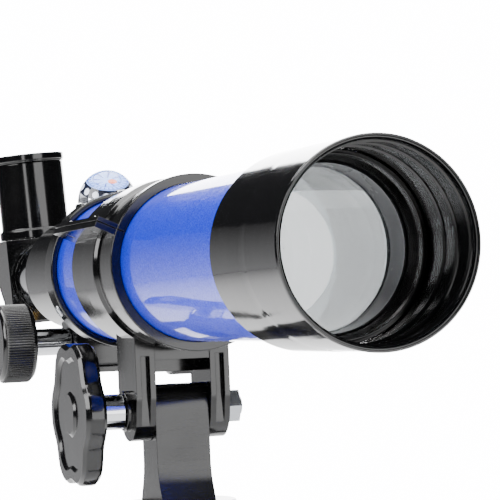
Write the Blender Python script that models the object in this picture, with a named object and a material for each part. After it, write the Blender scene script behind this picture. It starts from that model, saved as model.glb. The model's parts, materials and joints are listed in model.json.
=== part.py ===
"""Small refractor telescope on a tabletop tripod, built piece by piece.

Frame: X across the telescope, Y back towards the eyepiece, Z up, metres. The origin is on the floor, midway
along the telescope. Pieces on the optical axis hang from an empty whose local Z runs back along the tube, local
X across it and local Y down.
"""

from math import acos, cos, pi, radians, sin, sqrt, tan

import bmesh
import bpy
from mathutils import Vector

# Fits
GAP = 0.0003            # between pieces that touch
SPLIT_GAP = 0.0004      # between the two halves of the ring clamp
INSET = 0.0002          # how far a joined piece ends inside the face it meets
ROUND_LARGE = 36        # sides of a large turned piece
ROUND_MEDIUM = 24
ROUND_SMALL = 20
ROUND_LEG = 16

# Main tube and dew shield
TUBE_RADIUS = 0.0315
TUBE_WALL = 0.0012
TUBE_VISIBLE_REAR = 0.304       # where the focuser housing begins, from the front rim of the dew shield
SHIELD_WALL = 0.002
SHIELD_LENGTH = 0.070
SHIELD_STANDOFF = 0.0015        # air between the tube and the dew shield
SHIELD_TRAVEL = 0.030

# Objective
CELL_FRONT = 0.039
CELL_REAR = 0.068
CELL_LIP_AT = 0.051             # rear face of the lip that the mouth narrows to
CELL_LIP_WIDTH = 0.001          # lip inside the edge of the lenses
CELL_MOUTH_WALL = 0.0018
TUBE_FRONT = 0.0616
LENS_EDGE = 0.0032
LENS_SAG = 0.0013
LENS_CLEAR_RIM = 0.0014         # width of glass under the retaining ring
LENS_FRONT = 0.0633             # front edge of the first lens
FLINT_THICKNESS = 0.0042
SEAT_THICKNESS = 0.001          # bead in the tube behind the lenses
SEAT_WIDTH = 0.002
BAFFLE_AT = 0.150
BAFFLE_HOLE = 0.024

# Focuser
HOUSING_RIM_THICKNESS = 0.0025
HOUSING_RIM_LENGTH = 0.0125
HOUSING_SHOULDER_RADIUS = 0.0300
HOUSING_WALL = 0.0025
HOUSING_CONE_LENGTH = 0.014
HOUSING_RADIUS = 0.026
HOUSING_REAR = 0.398
DRAWTUBE_RADIUS = 0.018
DRAWTUBE_WALL = 0.0018
DRAWTUBE_FRONT = 0.322
DRAWTUBE_REAR = 0.441
GEAR_MODULE = 0.001
PINION_TEETH = 13
PINION_WIDTH = 0.009
TOOTH_SHARE = 0.40              # tooth thickness as a share of the pitch
TOOTH_ADDENDUM = 0.9            # in modules
TOOTH_DEDENDUM = 1.25
RACK_BODY = 0.005
RACK_TEETH = 23
FOCUS_AXLE_AT = 0.360
FOCUS_AXLE_RADIUS = 0.004
FOCUS_SLEEVE_RADIUS = 0.0062
FOCUS_KNOB_INNER = 0.032
FOCUS_KNOB_RADIUS = 0.018
FOCUS_KNOB_WIDTH = 0.016
KNOB_FACE_THICKNESS = 0.003
BLOCK_HALF_WIDTH = 0.0135
BLOCK_LENGTH = 0.028
BLOCK_FLOOR = 0.012             # block below the axle
COVER_THICKNESS = 0.0025
CHANNEL_WALL = 0.0022
HOUSING_SCREWS = 3
HOUSING_SCREW_ANGLE = 29.5      # of the first one, below the horizontal on the near side, degrees
SCREW_HEAD_RADIUS = 0.0027
SCREW_SHANK_RADIUS = 0.0015

# Compass
COMPASS_AT = 0.332
COMPASS_RADIUS = 0.0135
COMPASS_BASE_RADIUS = 0.0148
COMPASS_BASE_TOP = 0.031        # above the optical axis
DOME_HEIGHT = 0.0148
DOME_WALL = 0.0012
CARD_RADIUS = 0.0072
CARD_SKIRT_RADIUS = 0.0090
CARD_SKIRT_HEIGHT = 0.0042
CARD_THICKNESS = 0.0012
CARD_TILT = 24.0                # degrees, face turned towards the front
CARD_FACE_HEIGHT = 0.0076       # above the base

# Star diagonal and eyepiece
EYEPIECE_AT = 0.470
DIAGONAL_LEAN = 3.8             # degrees, top towards the near side
DIAGONAL_HALF_WIDTH = 0.0205
DIAGONAL_HALF_HEIGHT = 0.0205
DIAGONAL_WALL = 0.0025
BARREL_RADIUS = 0.015875        # push-fit barrels
HOLDER_WALL = 0.0008
HOLDER_RADIUS = 0.017
HOLDER_FOOT_RADIUS = 0.0183
HOLDER_FOOT_HEIGHT = 0.0042
HOLDER_TOP = 0.0588             # above the optical axis
EYEPIECE_FLANGE_RADIUS = 0.0178
EYEPIECE_FLANGE_HEIGHT = 0.0042
EYEPIECE_DEPTH = 0.025
EYEPIECE_BORE = 0.013
EYE_LENS_RADIUS = 0.0078
THUMB_HEAD_RADIUS = 0.0045
THUMB_HEAD_LENGTH = 0.0070
THUMB_NECK = 0.0025

# Ring clamp and fork
RING_FRONT = 0.198
RING_LENGTH = 0.070
RING_WALL = 0.0022
RING_LIP_WALL = 0.0037
RING_LIP_LENGTH = 0.0045
RIB_START = 0.027               # from the ring's front
RIB_LENGTH = 0.020
SPLIT_ANGLE = 23.7              # of the split plane above the horizontal on the near side, degrees
EAR_LENGTH = 0.0127             # ear's tip from the tube
LOWER_EAR_THICKNESS = 0.0024
UPPER_EAR_THICKNESS = 0.0018
CLAMP_SCREW_INSET = 0.0045      # from the ear's tip
CLAMP_SCREW_RADIUS = 0.0016
CLAMP_HEAD_RADIUS = 0.0030
CLAMP_HEAD_HEIGHT = 0.0016
KNUCKLE_RADIUS = 0.0030
HINGE_PIN_RADIUS = 0.0013
HINGE_SHARE = 0.3               # of the ring's length, for each of the lower ring's knuckles
FORK_CENTRE = 0.238
FORK_DEPTH = 0.028
FORK_OUTER = 0.020
LEG_WIDTH = 0.0083              # fork arm, across
GROOVE_WIDTH = 0.0036
GROOVE_DEPTH = 0.003
WEB_THICKNESS = 0.0026
WEB_BELOW_TUBE = 0.0073         # underside of the web below the tube
REAR_WEB_THICKNESS = 0.003
REAR_WEB_DROP = 0.0055
TUBE_TO_BOLT = 0.0280           # altitude bolt's axis below the tube
ARM_END_RADIUS = 0.0125
BOSS_RADIUS = 0.0083
BOSS_HEIGHT = 0.0025
BOLT_RADIUS = 0.004
BOLT_CLEARANCE = 0.0003
HUB_RADIUS = 0.0073
KNOB_INNER = 0.0367
KNOB_THICKNESS = 0.0086
KNOB_RADIUS = 0.031
KNOB_LOBES = 6
KNOB_DIP = 0.0035
NUT_RADIUS = 0.0075
NUT_HEIGHT = 0.0065

# Mount head and tripod hub
TONGUE_RADIUS = 0.0105
TONGUE_LENGTH = 0.026           # bolt to the shoulder
SHOULDER_HEIGHT = 0.012
TONGUE_FLARE = 0.006
HEAD_BASE_RADIUS = 0.024
HEAD_BASE_HEIGHT = 0.008
SPIGOT_RADIUS = 0.009
SPIGOT_LENGTH = 0.018
HUB_CORE_RADIUS = 0.022
HUB_TOP_RADIUS = 0.026
HUB_TOP_HEIGHT = 0.004
HUB_ABOVE_HINGE = 0.014
HUB_BELOW_HINGE = 0.013
HINGE_OUT = 0.032               # leg hinge from the pan axis
LUG_THICKNESS = 0.004
LUG_RADIUS = 0.0080
LOCK_SHANK_RADIUS = 0.0025
LOCK_HEAD_RADIUS = 0.009
LOCK_HEAD_LENGTH = 0.011
LOCK_NECK = 0.004

# Tripod legs
LEGS = 3
FIRST_LEG_AZIMUTH = -90.0
SPREAD = 30.0                   # from the vertical, degrees
LEG_LENGTH = 0.260              # hinge to floor, along the leg
BLOCK_WIDTH = 0.0124
BLOCK_HEAD_RADIUS = 0.0075
BLOCK_SHOULDER_AT = 0.016
BLOCK_SHOULDER = 0.004
BLOCK_SPIGOT = 0.016
LEG_PIN_RADIUS = 0.002
UPPER_LEG_RADIUS = 0.009
UPPER_LEG_LENGTH = 0.128
LEG_WALL = 0.0012
COLLAR_RADIUS = 0.012
COLLAR_LENGTH = 0.028
COLLAR_OVERLAP = 0.017
LOWER_LEG_RADIUS = 0.0068
LOWER_LEG_INSIDE = 0.080        # length hidden in the upper leg
FOOT_RADIUS = 0.0105
FOOT_LENGTH = 0.020             # socket's top to the floor, along the leg
FOOT_SOCKET = 0.009

# Worked out
SHIELD_INNER = TUBE_RADIUS + SHIELD_STANDOFF
SHIELD_RADIUS = SHIELD_INNER + SHIELD_WALL
CELL_RADIUS = SHIELD_INNER - GAP
TUBE_BORE = TUBE_RADIUS - TUBE_WALL
EAR_REACH = TUBE_RADIUS + EAR_LENGTH
WEB_DROP = TUBE_RADIUS + WEB_BELOW_TUBE
AXIS_TO_BOLT = TUBE_RADIUS + TUBE_TO_BOLT
LENS_RADIUS = TUBE_BORE - GAP
SEAT_FRONT = LENS_FRONT + LENS_EDGE + GAP + FLINT_THICKNESS + GAP
SEAT_REAR = SEAT_FRONT + SEAT_THICKNESS
HOUSING_RIM_RADIUS = TUBE_RADIUS + GAP + HOUSING_RIM_THICKNESS
HOUSING_RIM_REAR = TUBE_VISIBLE_REAR + HOUSING_RIM_LENGTH
TUBE_REAR = HOUSING_RIM_REAR - HOUSING_WALL - GAP
HOUSING_CONE_REAR = HOUSING_RIM_REAR + HOUSING_CONE_LENGTH
DRAWTUBE_BORE = DRAWTUBE_RADIUS + GAP
PITCH_RADIUS = GEAR_MODULE * PINION_TEETH / 2
RACK_TOP = DRAWTUBE_RADIUS + GAP
RACK_ROOT = RACK_TOP + RACK_BODY
PITCH_LINE = RACK_ROOT + TOOTH_DEDENDUM * GEAR_MODULE
AXLE_DROP = PITCH_LINE + PITCH_RADIUS
BLOCK_BOTTOM = AXLE_DROP + BLOCK_FLOOR
REAR_END = EYEPIECE_AT + HOLDER_RADIUS + THUMB_NECK + THUMB_HEAD_LENGTH
MIDDLE = REAR_END / 2
FORK_INNER = FORK_OUTER - LEG_WIDTH
HINGE_HEIGHT = LEG_LENGTH * cos(radians(SPREAD))
HUB_TOP = HINGE_HEIGHT + HUB_ABOVE_HINGE
HEAD_BOTTOM = HUB_TOP + GAP
BOLT_HEIGHT = HEAD_BOTTOM + HEAD_BASE_HEIGHT + SHOULDER_HEIGHT + TONGUE_LENGTH
AXIS_HEIGHT = BOLT_HEIGHT + AXIS_TO_BOLT
PAN_Y = FORK_CENTRE - MIDDLE

# Directions that a turned piece's local Z can point along, in the local frame of its parent
UP = (0.0, 0.0, 0.0)
ACROSS = (0.0, radians(90.0), 0.0)
UPRIGHT_ON_TUBE = (radians(90.0), 0.0, 0.0)


def clear_scene():
    for thing in list(bpy.data.objects):
        bpy.data.objects.remove(thing)


def finish(name, colour, roughness, metallic=0.0, alpha=1.0):
    made = bpy.data.materials.new(name)
    made.use_nodes = True
    shader = made.node_tree.nodes["Principled BSDF"]
    shader.inputs["Base Color"].default_value = (*colour, 1.0)
    shader.inputs["Roughness"].default_value = roughness
    shader.inputs["Metallic"].default_value = metallic
    shader.inputs["Alpha"].default_value = alpha
    return made


def empty(name, location, rotation=UP, parent=None):
    made = bpy.data.objects.new(name, None)
    bpy.context.scene.collection.objects.link(made)
    made.parent = parent
    made.location = location
    made.rotation_euler = rotation
    return made


def place(name, mesh_maker, material, parent=None, location=(0, 0, 0), rotation=UP, smooth=True):
    """Makes an object from a bmesh, with its faces pointing out."""
    bmesh.ops.remove_doubles(mesh_maker, verts=mesh_maker.verts, dist=1e-7)
    bmesh.ops.recalc_face_normals(mesh_maker, faces=mesh_maker.faces)
    mesh = bpy.data.meshes.new(name)
    mesh_maker.to_mesh(mesh)
    mesh_maker.free()
    if smooth:
        mesh.shade_smooth()
        mesh.set_sharp_from_angle(angle=radians(35.0))
    mesh.materials.append(material)
    made = bpy.data.objects.new(name, mesh)
    bpy.context.scene.collection.objects.link(made)
    made.parent = parent
    made.location = location
    made.rotation_euler = rotation
    return made


def turned(profile, sides, closed=True):
    """A bmesh turned about local Z from (radius, height) points. An open profile starts and ends on the axis."""
    maker = bmesh.new()
    points = [maker.verts.new((radius, 0.0, height)) for radius, height in profile]
    edges = [maker.edges.new(pair) for pair in zip(points, points[1:])]
    if closed:
        edges.append(maker.edges.new((points[-1], points[0])))
    bmesh.ops.spin(
        maker, geom=points + edges, cent=(0, 0, 0), axis=(0, 0, 1), dvec=(0, 0, 0),
        angle=2 * pi, steps=sides, use_merge=True, use_duplicate=False,
    )
    return maker


def disc(radius, start, end, sides=ROUND_SMALL):
    return turned([(0, start), (radius, start), (radius, end), (0, end)], sides, closed=False)


def pipe(outer, inner, start, end, sides=ROUND_MEDIUM):
    return turned([(outer, start), (outer, end), (inner, end), (inner, start)], sides)


def prism(outline, low, high, axis="z"):
    """A bmesh with this outline of points, extruded from low to high along local x, y or z."""
    order = {"x": lambda a, b, c: (c, a, b), "y": lambda a, b, c: (a, c, b), "z": lambda a, b, c: (a, b, c)}[axis]
    maker = bmesh.new()
    face = maker.faces.new([maker.verts.new(order(a, b, low)) for a, b in outline])
    pushed = bmesh.ops.extrude_face_region(maker, geom=[face])["geom"]
    corners = [part for part in pushed if isinstance(part, bmesh.types.BMVert)]
    bmesh.ops.translate(maker, verts=corners, vec=Vector(order(0.0, 0.0, high - low)))
    return maker


def box(low, high):
    outline = [(low[0], low[1]), (high[0], low[1]), (high[0], high[1]), (low[0], high[1])]
    return prism(outline, low[2], high[2])


def arc(radius, start, end, steps, centre=(0.0, 0.0)):
    """Points along an arc, angles in degrees."""
    angles = [radians(start + (end - start) * step / steps) for step in range(steps + 1)]
    return [(centre[0] + radius * cos(angle), centre[1] + radius * sin(angle)) for angle in angles]


def combine(target, tool, operation):
    tool.hide_render = True
    tool.display_type = "WIRE"
    boolean = target.modifiers.new(operation.lower() + "_" + tool.name, "BOOLEAN")
    boolean.operation = operation
    boolean.solver = "EXACT"
    boolean.object = tool


def cut(target, tool):
    combine(target, tool, "DIFFERENCE")


def join(target, tool):
    combine(target, tool, "UNION")


def lens(name, radius, start, edge, front_sag, rear_sag, material, parent, location=(0, 0, 0), rotation=UP):
    """A lens whose edge runs from start over edge. A positive sag bulges its face outwards."""
    steps = 3

    def face(rim_height, sag):
        if sag == 0.0:
            return [(0.0, rim_height), (radius, rim_height)]
        bend = (radius**2 + sag**2) / (2 * abs(sag))
        sign = 1.0 if sag > 0 else -1.0
        rings = [radius * step / steps for step in range(steps + 1)]
        return [(ring, rim_height + sign * (sqrt(bend**2 - ring**2) - sqrt(bend**2 - radius**2))) for ring in rings]

    front = [(ring, 2 * start - height) for ring, height in face(start, front_sag)]
    rear = face(start + edge, rear_sag)
    return place(name, turned(front + rear[::-1], ROUND_MEDIUM, closed=False), material, parent, location, rotation)


def thumb_screw(name, tip, seat, neck, head_radius, head_length, shank_radius, material, parent, location, rotation):
    """A screw along local Z: its shank from tip to seat, a neck, then a round grip."""
    grip = seat + neck
    bevel = 0.0006
    profile = [
        (0, tip), (shank_radius, tip), (shank_radius, grip), (head_radius - bevel, grip),
        (head_radius, grip + bevel), (head_radius, grip + head_length - bevel),
        (head_radius - bevel, grip + head_length), (0, grip + head_length),
    ]
    return place(name, turned(profile, ROUND_SMALL, closed=False), material, parent, location, rotation)


def build_front(axis, black, grey, blue, glass):
    """Dew shield, objective cell, lenses, retaining ring, tube with its lens seat, and the inner stop."""
    shield = [
        (SHIELD_RADIUS, 0.0), (SHIELD_RADIUS, SHIELD_LENGTH), (SHIELD_INNER, SHIELD_LENGTH), (SHIELD_INNER, 0.0),
    ]
    place("dew_shield", turned(shield, ROUND_LARGE), black, axis)

    cell = [
        (CELL_RADIUS, CELL_FRONT), (CELL_RADIUS, CELL_REAR), (TUBE_RADIUS + GAP, CELL_REAR),
        (TUBE_RADIUS + GAP, TUBE_FRONT - GAP), (LENS_RADIUS + GAP, TUBE_FRONT - GAP),
        (LENS_RADIUS + GAP, CELL_LIP_AT), (LENS_RADIUS - CELL_LIP_WIDTH, CELL_LIP_AT),
        (CELL_RADIUS - CELL_MOUTH_WALL, CELL_FRONT),
    ]
    place("objective_cell", turned(cell, ROUND_LARGE), black, axis)

    retainer = [
        (LENS_RADIUS, CELL_LIP_AT + GAP), (LENS_RADIUS, LENS_FRONT - GAP),
        (LENS_RADIUS - LENS_CLEAR_RIM, LENS_FRONT - GAP), (LENS_RADIUS - CELL_LIP_WIDTH, CELL_LIP_AT + GAP),
    ]
    place("lens_retaining_ring", turned(retainer, ROUND_LARGE), grey, axis)

    lens("crown_lens", LENS_RADIUS, LENS_FRONT, LENS_EDGE, LENS_SAG, LENS_SAG, glass, axis)
    lens("flint_lens", LENS_RADIUS, LENS_FRONT + LENS_EDGE + GAP, FLINT_THICKNESS, -LENS_SAG, 0.0, glass, axis)

    walls = [
        (TUBE_RADIUS, TUBE_FRONT), (TUBE_RADIUS, TUBE_REAR), (TUBE_BORE, TUBE_REAR), (TUBE_BORE, SEAT_REAR + 0.001),
        (TUBE_BORE - SEAT_WIDTH, SEAT_REAR), (TUBE_BORE - SEAT_WIDTH, SEAT_FRONT), (TUBE_BORE, SEAT_FRONT),
        (TUBE_BORE, TUBE_FRONT),
    ]
    tube = place("main_tube", turned(walls, ROUND_LARGE), blue, axis)
    stop_ring = [
        (TUBE_BORE - GAP, BAFFLE_AT), (TUBE_BORE - GAP, BAFFLE_AT + 0.008), (TUBE_BORE - 0.0015, BAFFLE_AT + 0.008),
        (TUBE_BORE - 0.0015, BAFFLE_AT + 0.0015), (BAFFLE_HOLE, BAFFLE_AT + 0.0015), (BAFFLE_HOLE, BAFFLE_AT),
    ]
    place("tube_baffle", turned(stop_ring, ROUND_MEDIUM), black, axis)
    return tube


def build_housing(axis, tube, black, steel):
    """Focuser housing with its gear block, the cover below it and the screws that hold the tube."""
    collar_radius = HOUSING_RADIUS - 0.003
    body = [
        (HOUSING_RIM_RADIUS, TUBE_VISIBLE_REAR), (HOUSING_RIM_RADIUS, HOUSING_RIM_REAR),
        (HOUSING_SHOULDER_RADIUS, HOUSING_RIM_REAR), (HOUSING_RADIUS, HOUSING_CONE_REAR),
        (HOUSING_RADIUS, HOUSING_REAR - 0.006), (collar_radius, HOUSING_REAR - 0.005), (collar_radius, HOUSING_REAR),
        (DRAWTUBE_BORE, HOUSING_REAR), (DRAWTUBE_BORE, HOUSING_CONE_REAR + 0.003),
        (HOUSING_RADIUS - HOUSING_WALL, HOUSING_CONE_REAR), (HOUSING_SHOULDER_RADIUS - HOUSING_WALL, HOUSING_RIM_REAR),
        (HOUSING_SHOULDER_RADIUS - HOUSING_WALL, TUBE_REAR + GAP), (TUBE_RADIUS + GAP, TUBE_REAR + GAP),
        (TUBE_RADIUS + GAP, TUBE_VISIBLE_REAR),
    ]
    housing = place("focuser_housing", turned(body, ROUND_LARGE), black, axis)

    block_front = FOCUS_AXLE_AT - BLOCK_LENGTH / 2
    block_rear = FOCUS_AXLE_AT + BLOCK_LENGTH / 2
    block_top = HOUSING_RADIUS - 0.004
    block = box(
        (-BLOCK_HALF_WIDTH, block_top, block_front), (BLOCK_HALF_WIDTH, BLOCK_BOTTOM, block_rear)
    )
    join(housing, place("gear_block_tool", block, black, axis, smooth=False))

    rack_slot_half = PINION_WIDTH / 2 + 0.0006
    channel = box(
        (-rack_slot_half - CHANNEL_WALL, block_top, HOUSING_RIM_REAR - HOUSING_WALL / 2),
        (rack_slot_half + CHANNEL_WALL, PITCH_LINE + 2 * GEAR_MODULE + CHANNEL_WALL, HOUSING_REAR - 0.007),
    )
    join(housing, place("rack_channel_tool", channel, black, axis, smooth=False))
    slot = box(
        (-rack_slot_half, DRAWTUBE_BORE / 2, TUBE_REAR - 0.001),
        (rack_slot_half, PITCH_LINE + 2 * GEAR_MODULE, HOUSING_REAR + 0.002),
    )
    cut(housing, place("rack_slot_tool", slot, black, axis, smooth=False))

    chamber = disc(PITCH_RADIUS + 1.6 * GEAR_MODULE, -rack_slot_half - 0.0007, rack_slot_half + 0.0007, ROUND_MEDIUM)
    cut(housing, place("pinion_chamber_tool", chamber, black, axis, (0, AXLE_DROP, FOCUS_AXLE_AT), ACROSS))

    bearing = FOCUS_AXLE_RADIUS + GAP
    notch = arc(bearing, 180.0, 360.0, 10, (FOCUS_AXLE_AT, AXLE_DROP))
    notch += [(FOCUS_AXLE_AT + bearing, BLOCK_BOTTOM + 0.002), (FOCUS_AXLE_AT - bearing, BLOCK_BOTTOM + 0.002)]
    swapped = [(down, back) for back, down in notch]
    slot_length = BLOCK_HALF_WIDTH + 0.002
    cut(housing, place("axle_slot_tool", prism(swapped, -slot_length, slot_length, "x"), black, axis, smooth=False))

    key_half = bearing - GAP
    saddle = AXLE_DROP + FOCUS_AXLE_RADIUS + GAP
    cover_outline = [
        (block_front, BLOCK_BOTTOM + GAP), (FOCUS_AXLE_AT - key_half, BLOCK_BOTTOM + GAP),
        (FOCUS_AXLE_AT - key_half, saddle), (FOCUS_AXLE_AT + key_half, saddle),
        (FOCUS_AXLE_AT + key_half, BLOCK_BOTTOM + GAP), (block_rear, BLOCK_BOTTOM + GAP),
        (block_rear, BLOCK_BOTTOM + GAP + COVER_THICKNESS), (block_front, BLOCK_BOTTOM + GAP + COVER_THICKNESS),
    ]
    swapped = [(down, back) for back, down in cover_outline]
    cover = place("pinion_cover", prism(swapped, -BLOCK_HALF_WIDTH, BLOCK_HALF_WIDTH, "x"), black, axis, smooth=False)
    relief = disc(PITCH_RADIUS + 1.6 * GEAR_MODULE, -rack_slot_half, rack_slot_half, ROUND_MEDIUM)
    cut(cover, place("cover_relief_tool", relief, black, axis, (0, AXLE_DROP, FOCUS_AXLE_AT), ACROSS))

    screw_at = (TUBE_VISIBLE_REAR + TUBE_REAR) / 2
    for number in range(HOUSING_SCREWS):
        around = radians(180.0 - HOUSING_SCREW_ANGLE + 360.0 * number / HOUSING_SCREWS)
        turn = (0.0, radians(90.0), around)
        hole = disc(SCREW_SHANK_RADIUS + GAP, TUBE_BORE - 0.003, HOUSING_RIM_RADIUS + 0.003)
        tool = place(f"screw_hole_tool_{number + 1}", hole, black, axis, (0, 0, screw_at), turn)
        cut(housing, tool)
        cut(tube, tool)
        head = HOUSING_RIM_RADIUS + GAP
        screw = [
            (0, TUBE_BORE), (SCREW_SHANK_RADIUS, TUBE_BORE), (SCREW_SHANK_RADIUS, head), (SCREW_HEAD_RADIUS, head),
            (SCREW_HEAD_RADIUS, head + 0.0005), (SCREW_HEAD_RADIUS - 0.0008, head + 0.0012), (0, head + 0.0012),
        ]
        maker = turned(screw, ROUND_SMALL, closed=False)
        place(f"housing_screw_{number + 1}", maker, steel, axis, (0, 0, screw_at), turn)


def build_focus_drive(axis, black, steel, brass):
    """Axle with its pinion and two knobs, turned about the axle."""
    drive = empty("focus_axle_axis", (0, AXLE_DROP, FOCUS_AXLE_AT), ACROSS, axis)
    shoulder = BLOCK_HALF_WIDTH + GAP
    axle_end = FOCUS_KNOB_INNER + FOCUS_KNOB_WIDTH - KNOB_FACE_THICKNESS - 2 * GAP
    half = [
        (FOCUS_AXLE_RADIUS, shoulder), (FOCUS_SLEEVE_RADIUS, shoulder), (FOCUS_SLEEVE_RADIUS, FOCUS_KNOB_INNER - GAP),
        (FOCUS_AXLE_RADIUS, FOCUS_KNOB_INNER - GAP), (FOCUS_AXLE_RADIUS, axle_end), (0.0, axle_end),
    ]
    other = [(radius, -height) for radius, height in reversed(half)]
    place("focus_shaft", turned(other + half, ROUND_SMALL, closed=False), steel, drive)

    pitch_angle = 2 * pi / PINION_TEETH
    base = PITCH_RADIUS * cos(radians(20.0))
    root = PITCH_RADIUS - 1.2 * GEAR_MODULE
    tip = PITCH_RADIUS + TOOTH_ADDENDUM * GEAR_MODULE

    def half_thickness(radius):
        """Half the angle of a tooth at this radius, by the involute of the base circle."""
        def unwind(distance):
            lean = acos(min(1.0, base / distance))
            return tan(lean) - lean
        return pitch_angle * TOOTH_SHARE / 2 + unwind(PITCH_RADIUS) - unwind(max(radius, base))

    rims = [root, base, (base + tip) / 2, tip]
    outline = []
    for tooth in range(PINION_TEETH):
        middle = tooth * pitch_angle - pi / 2
        sides = [(rim, -half_thickness(rim)) for rim in rims] + [(rim, half_thickness(rim)) for rim in reversed(rims)]
        outline += [(rim * cos(middle + turn), rim * sin(middle + turn)) for rim, turn in sides]
    pinion = place("focus_pinion", prism(outline, -PINION_WIDTH / 2, PINION_WIDTH / 2), brass, drive, smooth=False)
    bore = disc(FOCUS_AXLE_RADIUS + GAP, -PINION_WIDTH, PINION_WIDTH)
    cut(pinion, place("pinion_bore_tool", bore, brass, drive))

    bevel = 0.0015
    socket = FOCUS_KNOB_WIDTH - KNOB_FACE_THICKNESS
    knob = [
        (0.0, socket), (FOCUS_AXLE_RADIUS + GAP, socket), (FOCUS_AXLE_RADIUS + GAP, 0.0),
        (FOCUS_KNOB_RADIUS - bevel, 0.0), (FOCUS_KNOB_RADIUS, bevel), (FOCUS_KNOB_RADIUS, FOCUS_KNOB_WIDTH - bevel),
        (FOCUS_KNOB_RADIUS - bevel, FOCUS_KNOB_WIDTH), (0.0, FOCUS_KNOB_WIDTH),
    ]
    for name, side in (("focus_knob_right", 1.0), ("focus_knob_left", -1.0)):
        turn = UP if side > 0 else (radians(180.0), 0.0, 0.0)
        place(name, turned(knob, ROUND_MEDIUM, closed=False), black, drive, (0, 0, side * FOCUS_KNOB_INNER), turn)


def build_drawtube(axis, chrome, brass):
    """Drawtube, the rack under it and the screw that holds the diagonal."""
    tube = pipe(DRAWTUBE_RADIUS, DRAWTUBE_RADIUS - DRAWTUBE_WALL, DRAWTUBE_FRONT, DRAWTUBE_REAR)
    drawtube = place("drawtube", tube, chrome, axis)
    pitch = pi * GEAR_MODULE
    lean = tan(radians(20.0)) * GEAR_MODULE
    tooth_half = pitch * TOOTH_SHARE / 2
    start = FOCUS_AXLE_AT - (RACK_TEETH - 1) // 2 * pitch
    tip = PITCH_LINE + TOOTH_ADDENDUM * GEAR_MODULE
    foot_half = tooth_half + TOOTH_DEDENDUM * lean
    tip_half = tooth_half - TOOTH_ADDENDUM * lean
    outline = []
    for tooth in range(RACK_TEETH):
        middle = start + (tooth + 0.5) * pitch
        outline += [
            (middle - foot_half, RACK_ROOT), (middle - tip_half, tip), (middle + tip_half, tip),
            (middle + foot_half, RACK_ROOT),
        ]
    end = start + RACK_TEETH * pitch
    outline = [(start - INSET, RACK_TOP), (start - INSET, RACK_ROOT)] + outline
    outline += [(end + INSET, RACK_ROOT), (end + INSET, RACK_TOP)]
    swapped = [(down, back) for back, down in outline]
    half = PINION_WIDTH / 2
    place("focus_rack", prism(swapped, -half, half, "x"), brass, axis, smooth=False)
    screw_at = DRAWTUBE_REAR - 0.008
    hole = disc(SCREW_SHANK_RADIUS + GAP, DRAWTUBE_RADIUS - 0.004, DRAWTUBE_RADIUS + 0.002)
    cut(drawtube, place("drawtube_hole_tool", hole, chrome, axis, (0, 0, screw_at), ACROSS))
    thumb_screw(
        "drawtube_thumbscrew", BARREL_RADIUS + GAP, DRAWTUBE_RADIUS, THUMB_NECK, THUMB_HEAD_RADIUS,
        THUMB_HEAD_LENGTH, SCREW_SHANK_RADIUS, chrome, axis, (0, 0, screw_at), ACROSS,
    )


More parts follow.
